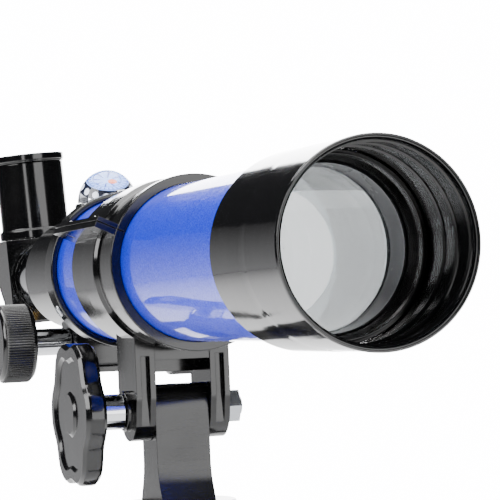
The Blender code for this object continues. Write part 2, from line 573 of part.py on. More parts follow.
def build_diagonal(axis, black, chrome, glass):
    """Star diagonal with its mirror, cover and eyepiece, leaning a little about the optical axis."""
    lean = empty("diagonal_axis", (0, 0, 0), (0, 0, radians(-DIAGONAL_LEAN)), axis)
    front = EYEPIECE_AT - DIAGONAL_HALF_HEIGHT
    rear = EYEPIECE_AT + DIAGONAL_HALF_HEIGHT
    top = -DIAGONAL_HALF_HEIGHT
    bottom = DIAGONAL_HALF_HEIGHT
    corner = 0.006
    outline = [(top, front), (top, rear), (top + corner, rear), (bottom, front + corner), (bottom, front)]
    width = DIAGONAL_HALF_WIDTH
    housing = place("diagonal_housing", prism(outline, -width, width, "x"), black, lean, smooth=False)
    nose_front = DRAWTUBE_REAR - 0.025
    nose = [
        (BARREL_RADIUS, nose_front), (BARREL_RADIUS, DRAWTUBE_REAR + GAP), (DRAWTUBE_RADIUS, DRAWTUBE_REAR + GAP),
        (DRAWTUBE_RADIUS, front + 0.001), (BARREL_RADIUS - 0.0018, front + 0.001), (BARREL_RADIUS - 0.0018, nose_front),
    ]
    join(housing, place("nose_tool", turned(nose, ROUND_MEDIUM), black, lean))
    wall = DIAGONAL_WALL
    slope = 0.004
    inner = [
        (top + wall, front + wall), (top + wall, rear - corner), (top + wall + slope, rear + corner + slope),
        (bottom + corner + slope, front + corner + slope), (bottom - corner, front + wall),
    ]
    inner_half = width - wall
    cut(housing, place("diagonal_hollow_tool", prism(inner, -inner_half, inner_half, "x"), black, lean, smooth=False))
    bore = disc(BARREL_RADIUS - 0.0018, front - 0.002, front + wall + 0.002, ROUND_MEDIUM)
    cut(housing, place("diagonal_bore_tool", bore, black, lean))
    mouth_top = DIAGONAL_HALF_HEIGHT + 0.002
    upward = disc(BARREL_RADIUS - 0.0018, DIAGONAL_HALF_HEIGHT - wall - 0.002, mouth_top, ROUND_MEDIUM)
    cut(housing, place("diagonal_mouth_tool", upward, black, lean, (0, 0, EYEPIECE_AT), UPRIGHT_ON_TUBE))

    middle = ((top + corner + bottom) / 2, (rear + front + corner) / 2)
    length = (bottom - top - corner) * sqrt(2.0) / 2
    tilt = (radians(45.0), 0.0, 0.0)
    cover = box((-width, GAP, -length + 0.0005), (width, GAP + 0.0022, length - 0.0005))
    place("diagonal_cover", cover, black, lean, (0, middle[0], middle[1]), tilt, smooth=False)
    mirror_half = inner_half - 0.0015
    mirror = box((-mirror_half, -0.0032, -length + 0.006), (mirror_half, -GAP, length - 0.006))
    place("diagonal_mirror", mirror, glass, lean, (0, middle[0], middle[1]), tilt, smooth=False)

    foot = DIAGONAL_HALF_HEIGHT + GAP
    bore_radius = BARREL_RADIUS + GAP
    holder = [
        (HOLDER_FOOT_RADIUS, foot), (HOLDER_FOOT_RADIUS, foot + HOLDER_FOOT_HEIGHT),
        (HOLDER_RADIUS, foot + HOLDER_FOOT_HEIGHT + 0.0005), (HOLDER_RADIUS, HOLDER_TOP), (bore_radius, HOLDER_TOP),
        (bore_radius, foot),
    ]
    seat = (0, 0, EYEPIECE_AT)
    upright = place("eyepiece_holder", turned(holder, ROUND_MEDIUM), black, lean, seat, UPRIGHT_ON_TUBE)
    screw_height = HOLDER_TOP - 0.010
    backward = (0, -screw_height, EYEPIECE_AT)
    hole = disc(SCREW_SHANK_RADIUS + GAP, HOLDER_RADIUS - 0.004, HOLDER_RADIUS + 0.002)
    cut(upright, place("holder_hole_tool", hole, black, lean, backward))
    thumb_screw(
        "eyepiece_thumbscrew", BARREL_RADIUS + GAP, HOLDER_RADIUS, THUMB_NECK, THUMB_HEAD_RADIUS,
        THUMB_HEAD_LENGTH, SCREW_SHANK_RADIUS, chrome, lean, backward, UP,
    )

    flange = HOLDER_TOP + GAP
    flange_top = flange + EYEPIECE_FLANGE_HEIGHT
    barrel_foot = HOLDER_TOP - EYEPIECE_DEPTH
    lip = flange_top - 0.0025
    barrel = [
        (BARREL_RADIUS, barrel_foot), (BARREL_RADIUS, flange), (EYEPIECE_FLANGE_RADIUS, flange),
        (EYEPIECE_FLANGE_RADIUS, flange_top), (EYE_LENS_RADIUS + 0.0015, flange_top),
        (EYE_LENS_RADIUS - 0.0012, lip), (EYE_LENS_RADIUS - 0.0012, lip - 0.001), (EYE_LENS_RADIUS + GAP, lip - 0.001),
        (EYE_LENS_RADIUS + GAP, lip - 0.007), (EYEPIECE_BORE, lip - 0.010), (EYEPIECE_BORE, barrel_foot),
    ]
    place("eyepiece_barrel", turned(barrel, ROUND_MEDIUM), black, lean, seat, UPRIGHT_ON_TUBE)
    eye_start = lip - 0.0062
    lens("eye_lens", EYE_LENS_RADIUS, eye_start, 0.003, 0.0, 0.0012, glass, lean, seat, UPRIGHT_ON_TUBE)
    field_start = barrel_foot + 0.004
    lens("field_lens", EYEPIECE_BORE - GAP, field_start, 0.002, 0.0015, 0.0, glass, lean, seat, UPRIGHT_ON_TUBE)


def build_compass(axis, black, clear, navy):
    """Small dome compass saddled on the focuser housing."""
    foot = HOUSING_RADIUS - 0.005
    well = COMPASS_RADIUS - DOME_WALL - 0.0005
    pin_top = COMPASS_BASE_TOP + CARD_FACE_HEIGHT - 0.0020
    base = [
        (0, foot), (COMPASS_BASE_RADIUS - 0.0015, foot), (COMPASS_BASE_RADIUS, COMPASS_BASE_TOP - 0.001),
        (COMPASS_BASE_RADIUS - 0.0006, COMPASS_BASE_TOP), (well, COMPASS_BASE_TOP), (well, COMPASS_BASE_TOP - 0.0022),
        (0.0012, COMPASS_BASE_TOP - 0.0022), (0.0008, pin_top), (0, pin_top),
    ]
    made = place(
        "compass_base", turned(base, ROUND_MEDIUM, closed=False), black, axis, (0, 0, COMPASS_AT), UPRIGHT_ON_TUBE
    )
    cone = [
        (0, TUBE_VISIBLE_REAR), (HOUSING_RIM_RADIUS + GAP, TUBE_VISIBLE_REAR),
        (HOUSING_RIM_RADIUS + GAP, HOUSING_RIM_REAR + GAP), (HOUSING_SHOULDER_RADIUS + GAP, HOUSING_RIM_REAR + GAP),
        (HOUSING_RADIUS + GAP, HOUSING_CONE_REAR + GAP), (HOUSING_RADIUS + GAP, COMPASS_AT + 0.03),
        (0, COMPASS_AT + 0.03),
    ]
    cut(made, place("saddle_tool", turned(cone, ROUND_LARGE, closed=False), black, axis))

    rise = COMPASS_BASE_TOP + GAP
    steps = 5
    outer = [
        (COMPASS_RADIUS * cos(radians(90.0 * step / steps)), rise + DOME_HEIGHT * sin(radians(90.0 * step / steps)))
        for step in range(steps)
    ] + [(0.0, rise + DOME_HEIGHT)]
    inside = COMPASS_RADIUS - DOME_WALL
    hollow = DOME_HEIGHT - DOME_WALL
    inner = [
        (inside * cos(radians(90.0 * step / steps)), rise + hollow * sin(radians(90.0 * step / steps)))
        for step in range(steps)
    ] + [(0.0, rise + hollow)]
    place(
        "compass_dome", turned(outer[::-1] + inner, ROUND_MEDIUM, closed=False), clear, axis, (0, 0, COMPASS_AT),
        UPRIGHT_ON_TUBE,
    )
    tilted = (radians(90.0 + CARD_TILT), 0.0, 0.0)
    centre = (0, -(COMPASS_BASE_TOP + CARD_FACE_HEIGHT), COMPASS_AT)
    skirt_inside = CARD_SKIRT_RADIUS - CARD_THICKNESS
    card = [
        (0, 0.0), (CARD_RADIUS, 0.0), (CARD_SKIRT_RADIUS, -CARD_SKIRT_HEIGHT), (skirt_inside, -CARD_SKIRT_HEIGHT),
        (CARD_RADIUS - 0.001, -CARD_THICKNESS), (0, -CARD_THICKNESS),
    ]
    place("compass_card", turned(card, ROUND_MEDIUM, closed=False), navy, axis, centre, tilted)


def split_wedge(upper):
    """Outline, in x and down, of everything on one side of the clamp's split plane."""
    far = 0.12
    slope = radians(SPLIT_ANGLE)
    along = Vector((-cos(slope), -sin(slope)))
    away = Vector((sin(slope), -cos(slope))) * (1.0 if upper else -1.0)
    start = -away * (SPLIT_GAP / 2)
    beyond = away * far * 2
    corners = [start + along * far, start - along * far, start - along * far + beyond, start + along * far + beyond]
    return [(corner.x, corner.y) for corner in corners]


def ring_body():
    """The whole ring clamp: front lip, band and middle rib, with its bore still undersize."""
    rear = RING_FRONT + RING_LENGTH
    inner = TUBE_RADIUS + GAP
    band = inner + RING_WALL
    lip = inner + RING_LIP_WALL
    rib = RING_FRONT + RIB_START
    return turned(
        [
            (lip, RING_FRONT), (lip, RING_FRONT + RING_LIP_LENGTH), (band, RING_FRONT + RING_LIP_LENGTH), (band, rib),
            (lip, rib + 0.001), (lip, rib + RIB_LENGTH - 0.001), (band, rib + RIB_LENGTH), (band, rear),
            (inner - 3 * GAP, rear), (inner - 3 * GAP, RING_FRONT),
        ],
        ROUND_LARGE,
    )


def along_split(out, off):
    """A point in x and down: out along the split plane on the near side, off it towards the upper half."""
    slope = radians(SPLIT_ANGLE)
    return (-cos(slope) * out + sin(slope) * off, -sin(slope) * out - cos(slope) * off)


def build_clamp(axis, black, chrome):
    """Lower ring with its fork, upper ring, their hinge pin and clamp screws."""
    rear = RING_FRONT + RING_LENGTH
    inside = TUBE_RADIUS + GAP + RING_WALL / 2
    hinge_out = -(EAR_REACH - KNUCKLE_RADIUS)
    hinge = along_split(hinge_out, 0.0)
    first = RING_FRONT + RING_LENGTH * HINGE_SHARE
    last = rear - RING_LENGTH * HINGE_SHARE
    cradle = place("tube_cradle", ring_body(), black, axis)
    cap = place("cradle_cap", ring_body(), black, axis)
    half_gap = SPLIT_GAP / 2
    lower = (-LOWER_EAR_THICKNESS - half_gap, UPPER_EAR_THICKNESS)
    upper = (-LOWER_EAR_THICKNESS, UPPER_EAR_THICKNESS + half_gap)
    knuckles = (
        (cradle, lower, RING_FRONT + INSET, first - GAP / 2), (cap, upper, first + GAP / 2, last - GAP / 2),
        (cradle, lower, last + GAP / 2, rear - INSET),
    )

    def plate(name, target, span, reach, start, stop):
        ends = ((inside, span[0]), (reach, span[0]), (reach, span[1]), (inside, span[1]))
        if reach < 0:
            ends = [(-out if out == inside else out, off) for out, off in ends]
        outline = [along_split(out, off) for out, off in ends]
        join(target, place(name, prism(outline, start, stop), black, axis, smooth=False))

    plate("lower_ear_tool", cradle, lower, EAR_REACH, RING_FRONT + INSET, rear - INSET)
    plate("upper_ear_tool", cap, upper, EAR_REACH, RING_FRONT + INSET, rear - INSET)
    for number, (target, span, start, stop) in enumerate(knuckles):
        plate(f"leaf_tool_{number + 1}", target, span, hinge_out, start + INSET, stop - INSET)
    cut(cradle, place("cradle_split_tool", prism(split_wedge(True), 0.0, 0.5), black, axis, smooth=False))
    cut(cap, place("cap_split_tool", prism(split_wedge(False), 0.0, 0.5), black, axis, smooth=False))
    for number, (target, span, start, stop) in enumerate(knuckles):
        barrel = disc(KNUCKLE_RADIUS, start, stop)
        join(target, place(f"knuckle_tool_{number + 1}", barrel, black, axis, (hinge[0], hinge[1], 0)))

    for target, name, spans in (
        (cap, "cap_room", ((RING_FRONT - RING_WALL, first + GAP / 4), (last - GAP / 4, rear + RING_WALL))),
        (cradle, "cradle_room", ((first - GAP / 4, last + GAP / 4),)),
    ):
        for number, (start, end) in enumerate(spans):
            room = disc(KNUCKLE_RADIUS + 2 * GAP, start, end)
            cut(target, place(f"{name}_tool_{number + 1}", room, black, axis, (hinge[0], hinge[1], 0)))
    pin_hole = disc(HINGE_PIN_RADIUS + GAP, RING_FRONT - 0.002, rear + 0.002)
    pin_tool = place("pin_hole_tool", pin_hole, black, axis, (hinge[0], hinge[1], 0))
    cut(cradle, pin_tool)
    cut(cap, pin_tool)
    pin = disc(HINGE_PIN_RADIUS, RING_FRONT + GAP, rear - GAP)
    place("clamp_hinge_pin", pin, chrome, axis, (hinge[0], hinge[1], 0))

    screw_out = EAR_REACH - CLAMP_SCREW_INSET
    for number, share in enumerate((0.22, 0.78)):
        at = along_split(screw_out, 0.0)
        where = (at[0], at[1], RING_FRONT + RING_LENGTH * share)
        turn = (radians(90.0), 0.0, 0.0)
        holder = empty(f"clamp_screw_axis_{number + 1}", where, (0.0, 0.0, radians(SPLIT_ANGLE)), axis)
        hole = disc(CLAMP_SCREW_RADIUS + GAP, -0.008, 0.008)
        tool = place(f"clamp_hole_tool_{number + 1}", hole, black, holder, (0, 0, 0), turn)
        cut(cradle, tool)
        cut(cap, tool)
        head = UPPER_EAR_THICKNESS + half_gap + GAP
        screw = [
            (0, -LOWER_EAR_THICKNESS), (CLAMP_SCREW_RADIUS, -LOWER_EAR_THICKNESS), (CLAMP_SCREW_RADIUS, head),
            (CLAMP_HEAD_RADIUS, head), (CLAMP_HEAD_RADIUS, head + CLAMP_HEAD_HEIGHT - 0.0005),
            (CLAMP_HEAD_RADIUS - 0.0008, head + CLAMP_HEAD_HEIGHT), (0, head + CLAMP_HEAD_HEIGHT),
        ]
        place(f"clamp_screw_{number + 1}", turned(screw, ROUND_SMALL, closed=False), chrome, holder, (0, 0, 0), turn)
    return cradle, cap


def build_fork(axis, cradle, black):
    """Two grooved arms and the webs between them, joined to the lower ring."""
    front = FORK_CENTRE - FORK_DEPTH / 2
    rear = FORK_CENTRE + FORK_DEPTH / 2
    ring_inside = TUBE_RADIUS + GAP + RING_WALL / 2
    for side in (-1.0, 1.0):
        name = "near" if side < 0 else "far"
        low, high = sorted((side * FORK_INNER, side * FORK_OUTER))
        arm_top = sqrt(ring_inside**2 - FORK_OUTER**2)
        end = arc(ARM_END_RADIUS, 180.0, 0.0, 10, (FORK_CENTRE, 0.0))
        outline = [(arm_top, front), (AXIS_TO_BOLT - 0.006, front)]
        outline += [(AXIS_TO_BOLT + down, back) for back, down in end]
        outline += [(AXIS_TO_BOLT - 0.006, rear), (arm_top, rear)]
        arm = place(f"{name}_arm_tool", prism(outline, low, high, "x"), black, axis, smooth=False)
        join(cradle, arm)
        middle = side * (FORK_INNER + FORK_OUTER) / 2
        grooves = (("front", front - 0.002, front + GROOVE_DEPTH), ("rear", rear - GROOVE_DEPTH, rear + 0.002))
        for face, start, stop in grooves:
            groove = box(
                (middle - GROOVE_WIDTH / 2, TUBE_RADIUS + GAP + RING_LIP_WALL + 0.0015, start),
                (middle + GROOVE_WIDTH / 2, AXIS_TO_BOLT + ARM_END_RADIUS, stop),
            )
            cut(cradle, place(f"{name}_{face}_groove_tool", groove, black, axis, smooth=False))
    web_top = TUBE_RADIUS + GAP + RING_WALL / 2
    reach = FORK_INNER + LEG_WIDTH / 2
    web = box((-FORK_INNER - 0.001, web_top, front + 0.0005), (FORK_INNER + 0.001, WEB_DROP, rear - 0.0005))
    join(cradle, place("web_tool", web, black, axis, smooth=False))
    rear_web = box(
        (-reach, WEB_DROP - 0.001, rear - GROOVE_DEPTH - REAR_WEB_THICKNESS),
        (reach, WEB_DROP + REAR_WEB_DROP, rear - GROOVE_DEPTH - 0.0003),
    )
    join(cradle, place("rear_web_tool", rear_web, black, axis, smooth=False))
    boss = disc(BOSS_RADIUS, FORK_OUTER - 0.001, FORK_OUTER + BOSS_HEIGHT, ROUND_MEDIUM)
    bolt_at = (0, AXIS_TO_BOLT, FORK_CENTRE)
    near = (0.0, radians(-90.0), 0.0)
    join(cradle, place("boss_tool", boss, black, axis, bolt_at, near))
    hole = disc(BOLT_RADIUS + BOLT_CLEARANCE, -FORK_OUTER - 0.01, FORK_OUTER + 0.01)
    cut(cradle, place("bolt_hole_tool", hole, black, axis, bolt_at, near))


def bore_clamp(axis, cradle, cap, black):
    """Opens the clamp's bore to the tube's size."""
    bore = disc(TUBE_RADIUS + GAP, RING_FRONT - 0.003, RING_FRONT + RING_LENGTH + 0.003, ROUND_LARGE)
    tool = place("clamp_bore_tool", bore, black, axis)
    cut(cradle, tool)
    cut(cap, tool)


def build_altitude_bolt(axis, black, chrome):
    """Altitude knob, its hub and bolt, turned together, and the nut in the far arm."""
    bolt_axis = empty("altitude_bolt_axis", (0, AXIS_TO_BOLT, FORK_CENTRE), (0.0, radians(-90.0), 0.0), axis)
    bolt_end = FORK_OUTER + GAP + NUT_HEIGHT
    bore = BOLT_RADIUS + BOLT_CLEARANCE
    bolt_head = KNOB_INNER + KNOB_THICKNESS - 0.003
    place("altitude_bolt", disc(BOLT_RADIUS, -bolt_end - 0.0015, bolt_head), chrome, bolt_axis)
    hub = pipe(HUB_RADIUS, bore, FORK_OUTER + BOSS_HEIGHT + GAP, KNOB_INNER - GAP)
    place("altitude_hub", hub, chrome, bolt_axis)

    points = 48
    outline = []
    for step in range(points):
        angle = 2 * pi * step / points
        wave = (1.0 + cos(KNOB_LOBES * angle)) / 2
        radius = KNOB_RADIUS - KNOB_DIP * (1.0 - wave) ** 1.5
        outline.append((radius * cos(angle), radius * sin(angle)))
    knob = prism(outline, KNOB_INNER, KNOB_INNER + KNOB_THICKNESS)
    made = place("altitude_knob", knob, black, bolt_axis, smooth=False)
    blind = disc(bore, KNOB_INNER - 0.002, bolt_head + GAP)
    cut(made, place("knob_bore_tool", blind, black, bolt_axis))

    nut = [(NUT_RADIUS * cos(radians(60.0 * step)), NUT_RADIUS * sin(radians(60.0 * step))) for step in range(6)]
    outline = prism(nut, -FORK_OUTER - GAP - NUT_HEIGHT, -FORK_OUTER - GAP)
    hexagon = place("altitude_nut", outline, chrome, bolt_axis, smooth=False)
    through = disc(bore, -bolt_end - 0.004, -FORK_OUTER + 0.002)
    cut(hexagon, place("nut_bore_tool", through, chrome, bolt_axis))


def build_head(black):
    """Mount head: a tongue between the fork's arms on a round base that turns on the hub."""
    pan = empty("pan_axis", (0, PAN_Y, 0))
    half = FORK_INNER - GAP
    shoulder = BOLT_HEIGHT - TONGUE_LENGTH
    floor = HEAD_BOTTOM + HEAD_BASE_HEIGHT
    outline = arc(TONGUE_RADIUS, 0.0, 180.0, 10, (0.0, BOLT_HEIGHT))
    root = TONGUE_RADIUS + TONGUE_FLARE
    outline += [(-TONGUE_RADIUS, shoulder), (-root, floor - 0.001), (root, floor - 0.001), (TONGUE_RADIUS, shoulder)]
    head = place("mount_head", prism(outline, -half, half, "x"), black, pan, smooth=False)
    spigot_end = HEAD_BOTTOM - SPIGOT_LENGTH
    base = [
        (0, spigot_end), (SPIGOT_RADIUS, spigot_end), (SPIGOT_RADIUS, HEAD_BOTTOM), (HEAD_BASE_RADIUS, HEAD_BOTTOM),
        (HEAD_BASE_RADIUS, floor - 0.001), (HEAD_BASE_RADIUS - 0.001, floor), (0, floor),
    ]
    join(head, place("head_base_tool", turned(base, ROUND_MEDIUM, closed=False), black, pan))
    hole = disc(BOLT_RADIUS + BOLT_CLEARANCE, -half - 0.004, half + 0.004)
    cut(head, place("tongue_hole_tool", hole, black, pan, (0, 0, BOLT_HEIGHT), ACROSS))
    return pan


def build_hub(pan, black, chrome):
    """Tripod hub: core with a bore for the head, and a pair of lugs for each leg."""
    bottom = HINGE_HEIGHT - HUB_BELOW_HINGE
    bore = SPIGOT_RADIUS + GAP
    bore_floor = HUB_TOP - SPIGOT_LENGTH - 0.001
    core = [
        (0.0, bottom), (HUB_CORE_RADIUS, bottom), (HUB_CORE_RADIUS, HUB_TOP - HUB_TOP_HEIGHT - 0.002),
        (HUB_TOP_RADIUS, HUB_TOP - HUB_TOP_HEIGHT), (HUB_TOP_RADIUS, HUB_TOP), (bore, HUB_TOP), (bore, bore_floor),
        (0.0, bore_floor),
    ]
    hub = place("tripod_hub", turned(core, ROUND_LARGE, closed=False), black, pan)
    lug_low = BLOCK_WIDTH / 2 + GAP
    lug_high = lug_low + LUG_THICKNESS
    for number in range(LEGS):
        azimuth = radians(FIRST_LEG_AZIMUTH + 360.0 / LEGS * number)
        leg = empty(f"hub_side_{number + 1}", (0, 0, HINGE_HEIGHT), (0, 0, azimuth), pan)
        outline = [(HUB_CORE_RADIUS - 0.004, -LUG_RADIUS), (HINGE_OUT, -LUG_RADIUS)]
        outline += arc(LUG_RADIUS, -80.0, 80.0, 8, (HINGE_OUT, 0.0))
        outline += [(HINGE_OUT, LUG_RADIUS), (HUB_CORE_RADIUS - 0.004, LUG_RADIUS)]
        for side in (-1.0, 1.0):
            low, high = sorted((side * lug_low, side * lug_high))
            label = f"{number + 1}{'a' if side < 0 else 'b'}"
            join(hub, place(f"lug_tool_{label}", prism(outline, low, high, "y"), black, leg, smooth=False))
        turn = (radians(90.0), 0.0, 0.0)
        hole = disc(LEG_PIN_RADIUS + GAP, -lug_high - 0.002, lug_high + 0.002, ROUND_SMALL)
        cut(hub, place(f"leg_pin_hole_tool_{number + 1}", hole, black, leg, (HINGE_OUT, 0, 0), turn))
        pin = disc(LEG_PIN_RADIUS, -lug_high - 0.0008, lug_high + 0.0008, ROUND_SMALL)
        place(f"leg_pin_{number + 1}", pin, chrome, leg, (HINGE_OUT, 0, 0), turn)

    lock_height = HUB_TOP - SPIGOT_LENGTH / 2
    rearward = (radians(-90.0), 0.0, 0.0)
    hole = disc(LOCK_SHANK_RADIUS + GAP, SPIGOT_RADIUS - 0.002, HUB_TOP_RADIUS + 0.002)
    cut(hub, place("lock_hole_tool", hole, black, pan, (0, 0, lock_height), rearward))
    thumb_screw(
        "pan_lock_knob", SPIGOT_RADIUS + GAP, HUB_TOP_RADIUS, LOCK_NECK, LOCK_HEAD_RADIUS, LOCK_HEAD_LENGTH,
        LOCK_SHANK_RADIUS, black, pan, (0, 0, lock_height), rearward,
    )


def build_leg(pan, number, black, silver, rubber):
    """One telescopic leg, hanging down local Z from its hinge."""
    azimuth = radians(FIRST_LEG_AZIMUTH + 360.0 / LEGS * number)
    hinge = (HINGE_OUT * cos(azimuth), HINGE_OUT * sin(azimuth), HINGE_HEIGHT)
    leg = empty(f"leg_axis_{number + 1}", hinge, (0.0, radians(-SPREAD), azimuth), pan)
    label = number + 1

    shoulder = -BLOCK_SHOULDER_AT
    tube_top = shoulder - BLOCK_SHOULDER
    inner = UPPER_LEG_RADIUS - LEG_WALL
    half = BLOCK_WIDTH / 2
    outline = arc(BLOCK_HEAD_RADIUS, 0.0, 180.0, 8)
    outline += [(-BLOCK_HEAD_RADIUS, shoulder - 0.001), (BLOCK_HEAD_RADIUS, shoulder - 0.001)]
    block = place(f"leg_hinge_block_{label}", prism(outline, -half, half, "y"), black, leg, smooth=False)
    plug = [
        (0, tube_top - BLOCK_SPIGOT), (inner - GAP, tube_top - BLOCK_SPIGOT), (inner - GAP, tube_top),
        (UPPER_LEG_RADIUS + 0.0008, tube_top), (UPPER_LEG_RADIUS + 0.0008, shoulder), (0, shoulder),
    ]
    join(block, place(f"leg_plug_tool_{label}", turned(plug, ROUND_LEG, closed=False), black, leg))
    hole = disc(LEG_PIN_RADIUS + GAP, -half - 0.002, half + 0.002)
    cut(block, place(f"block_hole_tool_{label}", hole, black, leg, (0, 0, 0), (radians(90.0), 0.0, 0.0)))

    upper_top = tube_top - GAP
    upper_bottom = upper_top - UPPER_LEG_LENGTH
    place(f"upper_leg_{label}", pipe(UPPER_LEG_RADIUS, inner, upper_bottom, upper_top, ROUND_LEG), silver, leg)

    collar_top = upper_bottom + COLLAR_OVERLAP
    collar_bottom = collar_top - COLLAR_LENGTH
    sleeve = UPPER_LEG_RADIUS + GAP
    throat = LOWER_LEG_RADIUS + GAP
    collar = [
        (COLLAR_RADIUS - 0.001, collar_top), (COLLAR_RADIUS, collar_top - 0.002), (COLLAR_RADIUS, collar_bottom + 0.006),
        (LOWER_LEG_RADIUS + 0.0022, collar_bottom), (throat, collar_bottom), (throat, upper_bottom - GAP),
        (sleeve, upper_bottom - GAP), (sleeve, collar_top),
    ]
    place(f"leg_collar_{label}", turned(collar, ROUND_LEG), black, leg)

    foot_top = -LEG_LENGTH + FOOT_LENGTH
    lower_bottom = foot_top - FOOT_SOCKET + GAP
    lower_top = upper_bottom + LOWER_LEG_INSIDE
    lower = pipe(LOWER_LEG_RADIUS, LOWER_LEG_RADIUS - LEG_WALL, lower_bottom, lower_top, ROUND_LEG)
    place(f"lower_leg_{label}", lower, silver, leg)

    sole = -LEG_LENGTH - FOOT_RADIUS
    socket = LOWER_LEG_RADIUS + GAP
    foot_outline = [
        (0, sole), (FOOT_RADIUS, sole), (FOOT_RADIUS, -LEG_LENGTH + 0.004), (FOOT_RADIUS - 0.001, foot_top - 0.003),
        (FOOT_RADIUS - 0.002, foot_top), (socket, foot_top), (socket, foot_top - FOOT_SOCKET), (0, foot_top - FOOT_SOCKET),
    ]
    foot = place(f"leg_foot_{label}", turned(foot_outline, ROUND_LEG, closed=False), rubber, leg)
    reach = 3 * FOOT_RADIUS
    away = HINGE_OUT + LEG_LENGTH * sin(radians(SPREAD))
    below = box((-reach, -reach, -reach), (reach, reach, 0.0))
    spot = (away * cos(azimuth), away * sin(azimuth), 0.0)
    cut(foot, place(f"floor_tool_{label}", below, rubber, pan, spot, (0, 0, azimuth), smooth=False))


def main():
    clear_scene()
    black = finish("black_plastic", (0.012, 0.012, 0.014), 0.25)
    grey = finish("grey_plastic", (0.40, 0.41, 0.43), 0.3)
    blue = finish("blue_metallic_paint", (0.01, 0.06, 0.62), 0.2, 0.5)
    chrome = finish("chrome", (0.85, 0.86, 0.88), 0.08, 1.0)
    silver = finish("anodised_aluminium", (0.70, 0.71, 0.73), 0.35, 1.0)
    steel = finish("steel_screws", (0.45, 0.46, 0.48), 0.3, 1.0)
    brass = finish("brass_gear", (0.72, 0.55, 0.24), 0.35, 1.0)
    rubber = finish("rubber", (0.02, 0.02, 0.02), 0.8)
    glass = finish("lens_glass", (0.75, 0.80, 0.82), 0.05, 0.0, 0.5)
    clear = finish("clear_dome", (0.9, 0.95, 1.0), 0.03, 0.0, 0.35)
    navy = finish("compass_card", (0.02, 0.04, 0.16), 0.4)

    axis = empty("optical_axis", (0, -MIDDLE, AXIS_HEIGHT), (radians(-90.0), 0.0, 0.0))
    tube = build_front(axis, black, grey, blue, glass)
    build_housing(axis, tube, black, steel)
    build_focus_drive(axis, black, chrome, brass)
    build_drawtube(axis, chrome, brass)
    build_diagonal(axis, black, chrome, glass)
    build_compass(axis, black, clear, navy)
    cradle, cap = build_clamp(axis, black, chrome)
    build_fork(axis, cradle, black)
    bore_clamp(axis, cradle, cap, black)
    build_altitude_bolt(axis, black, chrome)
    pan = build_head(black)
    build_hub(pan, black, chrome)
    for number in range(LEGS):
        build_leg(pan, number, black, silver, rubber)


if __name__ == "__main__":
    main()
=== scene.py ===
"""Looks of a small refracting telescope on a folding tabletop tripod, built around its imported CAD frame.

Sizes are in millimetres in each assembly's own frame. Along the optical axis, local Z runs back from the
front rim of the dew shield, local X runs across and local Y runs down.
"""

import json
import logging
from abc import ABC, abstractmethod
from collections.abc import Callable, Sequence
from dataclasses import dataclass, field
from enum import Enum
from math import cos, inf, pi, radians, sin, sqrt

import bmesh
import bpy
from mathutils import Matrix, Vector

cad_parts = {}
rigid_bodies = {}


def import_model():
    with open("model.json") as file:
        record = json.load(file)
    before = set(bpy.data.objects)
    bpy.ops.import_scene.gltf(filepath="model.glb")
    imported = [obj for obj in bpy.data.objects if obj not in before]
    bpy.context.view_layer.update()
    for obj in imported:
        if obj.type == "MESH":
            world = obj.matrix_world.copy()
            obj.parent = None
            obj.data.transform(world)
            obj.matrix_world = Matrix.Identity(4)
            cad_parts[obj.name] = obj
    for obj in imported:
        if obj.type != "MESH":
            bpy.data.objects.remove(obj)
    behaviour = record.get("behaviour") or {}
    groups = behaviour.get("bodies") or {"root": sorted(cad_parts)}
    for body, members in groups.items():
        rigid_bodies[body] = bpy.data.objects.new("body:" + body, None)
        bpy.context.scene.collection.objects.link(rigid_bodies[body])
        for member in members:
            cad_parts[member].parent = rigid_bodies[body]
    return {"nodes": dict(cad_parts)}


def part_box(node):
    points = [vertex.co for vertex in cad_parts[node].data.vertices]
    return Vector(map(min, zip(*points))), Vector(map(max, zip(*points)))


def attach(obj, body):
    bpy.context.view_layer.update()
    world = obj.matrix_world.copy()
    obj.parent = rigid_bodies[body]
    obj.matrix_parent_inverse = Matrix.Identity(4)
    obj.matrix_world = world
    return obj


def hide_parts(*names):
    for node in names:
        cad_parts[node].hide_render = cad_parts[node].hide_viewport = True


for leftover in list(bpy.data.objects):
    bpy.data.objects.remove(leftover)
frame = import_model()

LOG = logging.getLogger("telescope")
MM = 0.001
# Sides of a turned shape, from the finest to the coarsest
KNURLED = 480
LOBED = 240
LARGEST = 192
FINE = 144
LARGE = 128
MEDIUM = 72
COARSE = 40
# Usual gap between pieces that don't touch, millimetres
CLEAR = 0.3

Point = tuple[float, float]
Profile = Sequence[Point]
Socket = bpy.types.NodeSocket


class Facing(Enum):
    """Rotation that turns a turned piece's local Z towards a direction of the tube's frame."""

    BACK = Matrix.Identity(4)
    UP = Matrix.Rotation(radians(90.0), 4, "X")
    FAR = Matrix.Rotation(radians(90.0), 4, "Y")
    NEAR = Matrix.Rotation(radians(-90.0), 4, "Y")


class Boolean(Enum):
    """How a tool changes a shape."""

    CUT = "DIFFERENCE"
    JOIN = "UNION"


def shift(x: float, y: float, z: float) -> Matrix:
    """Translation by these millimetres."""
    return Matrix.Translation((x, y, z))


# --------------------------------------------------------------------------------------------------
# Materials
# --------------------------------------------------------------------------------------------------


def linear(code: str) -> tuple[float, float, float, float]:
    """Linear RGBA of an sRGB hex colour."""
    channels = [int(code[start:start + 2], 16) / 255 for start in (1, 3, 5)]
    return (*[c / 12.92 if c <= 0.04045 else ((c + 0.055) / 1.055) ** 2.4 for c in channels], 1.0)


def per_mm(size: float) -> float:
    """Texture scale whose features are this many millimetres across."""
    return 1.0 / (size * MM)


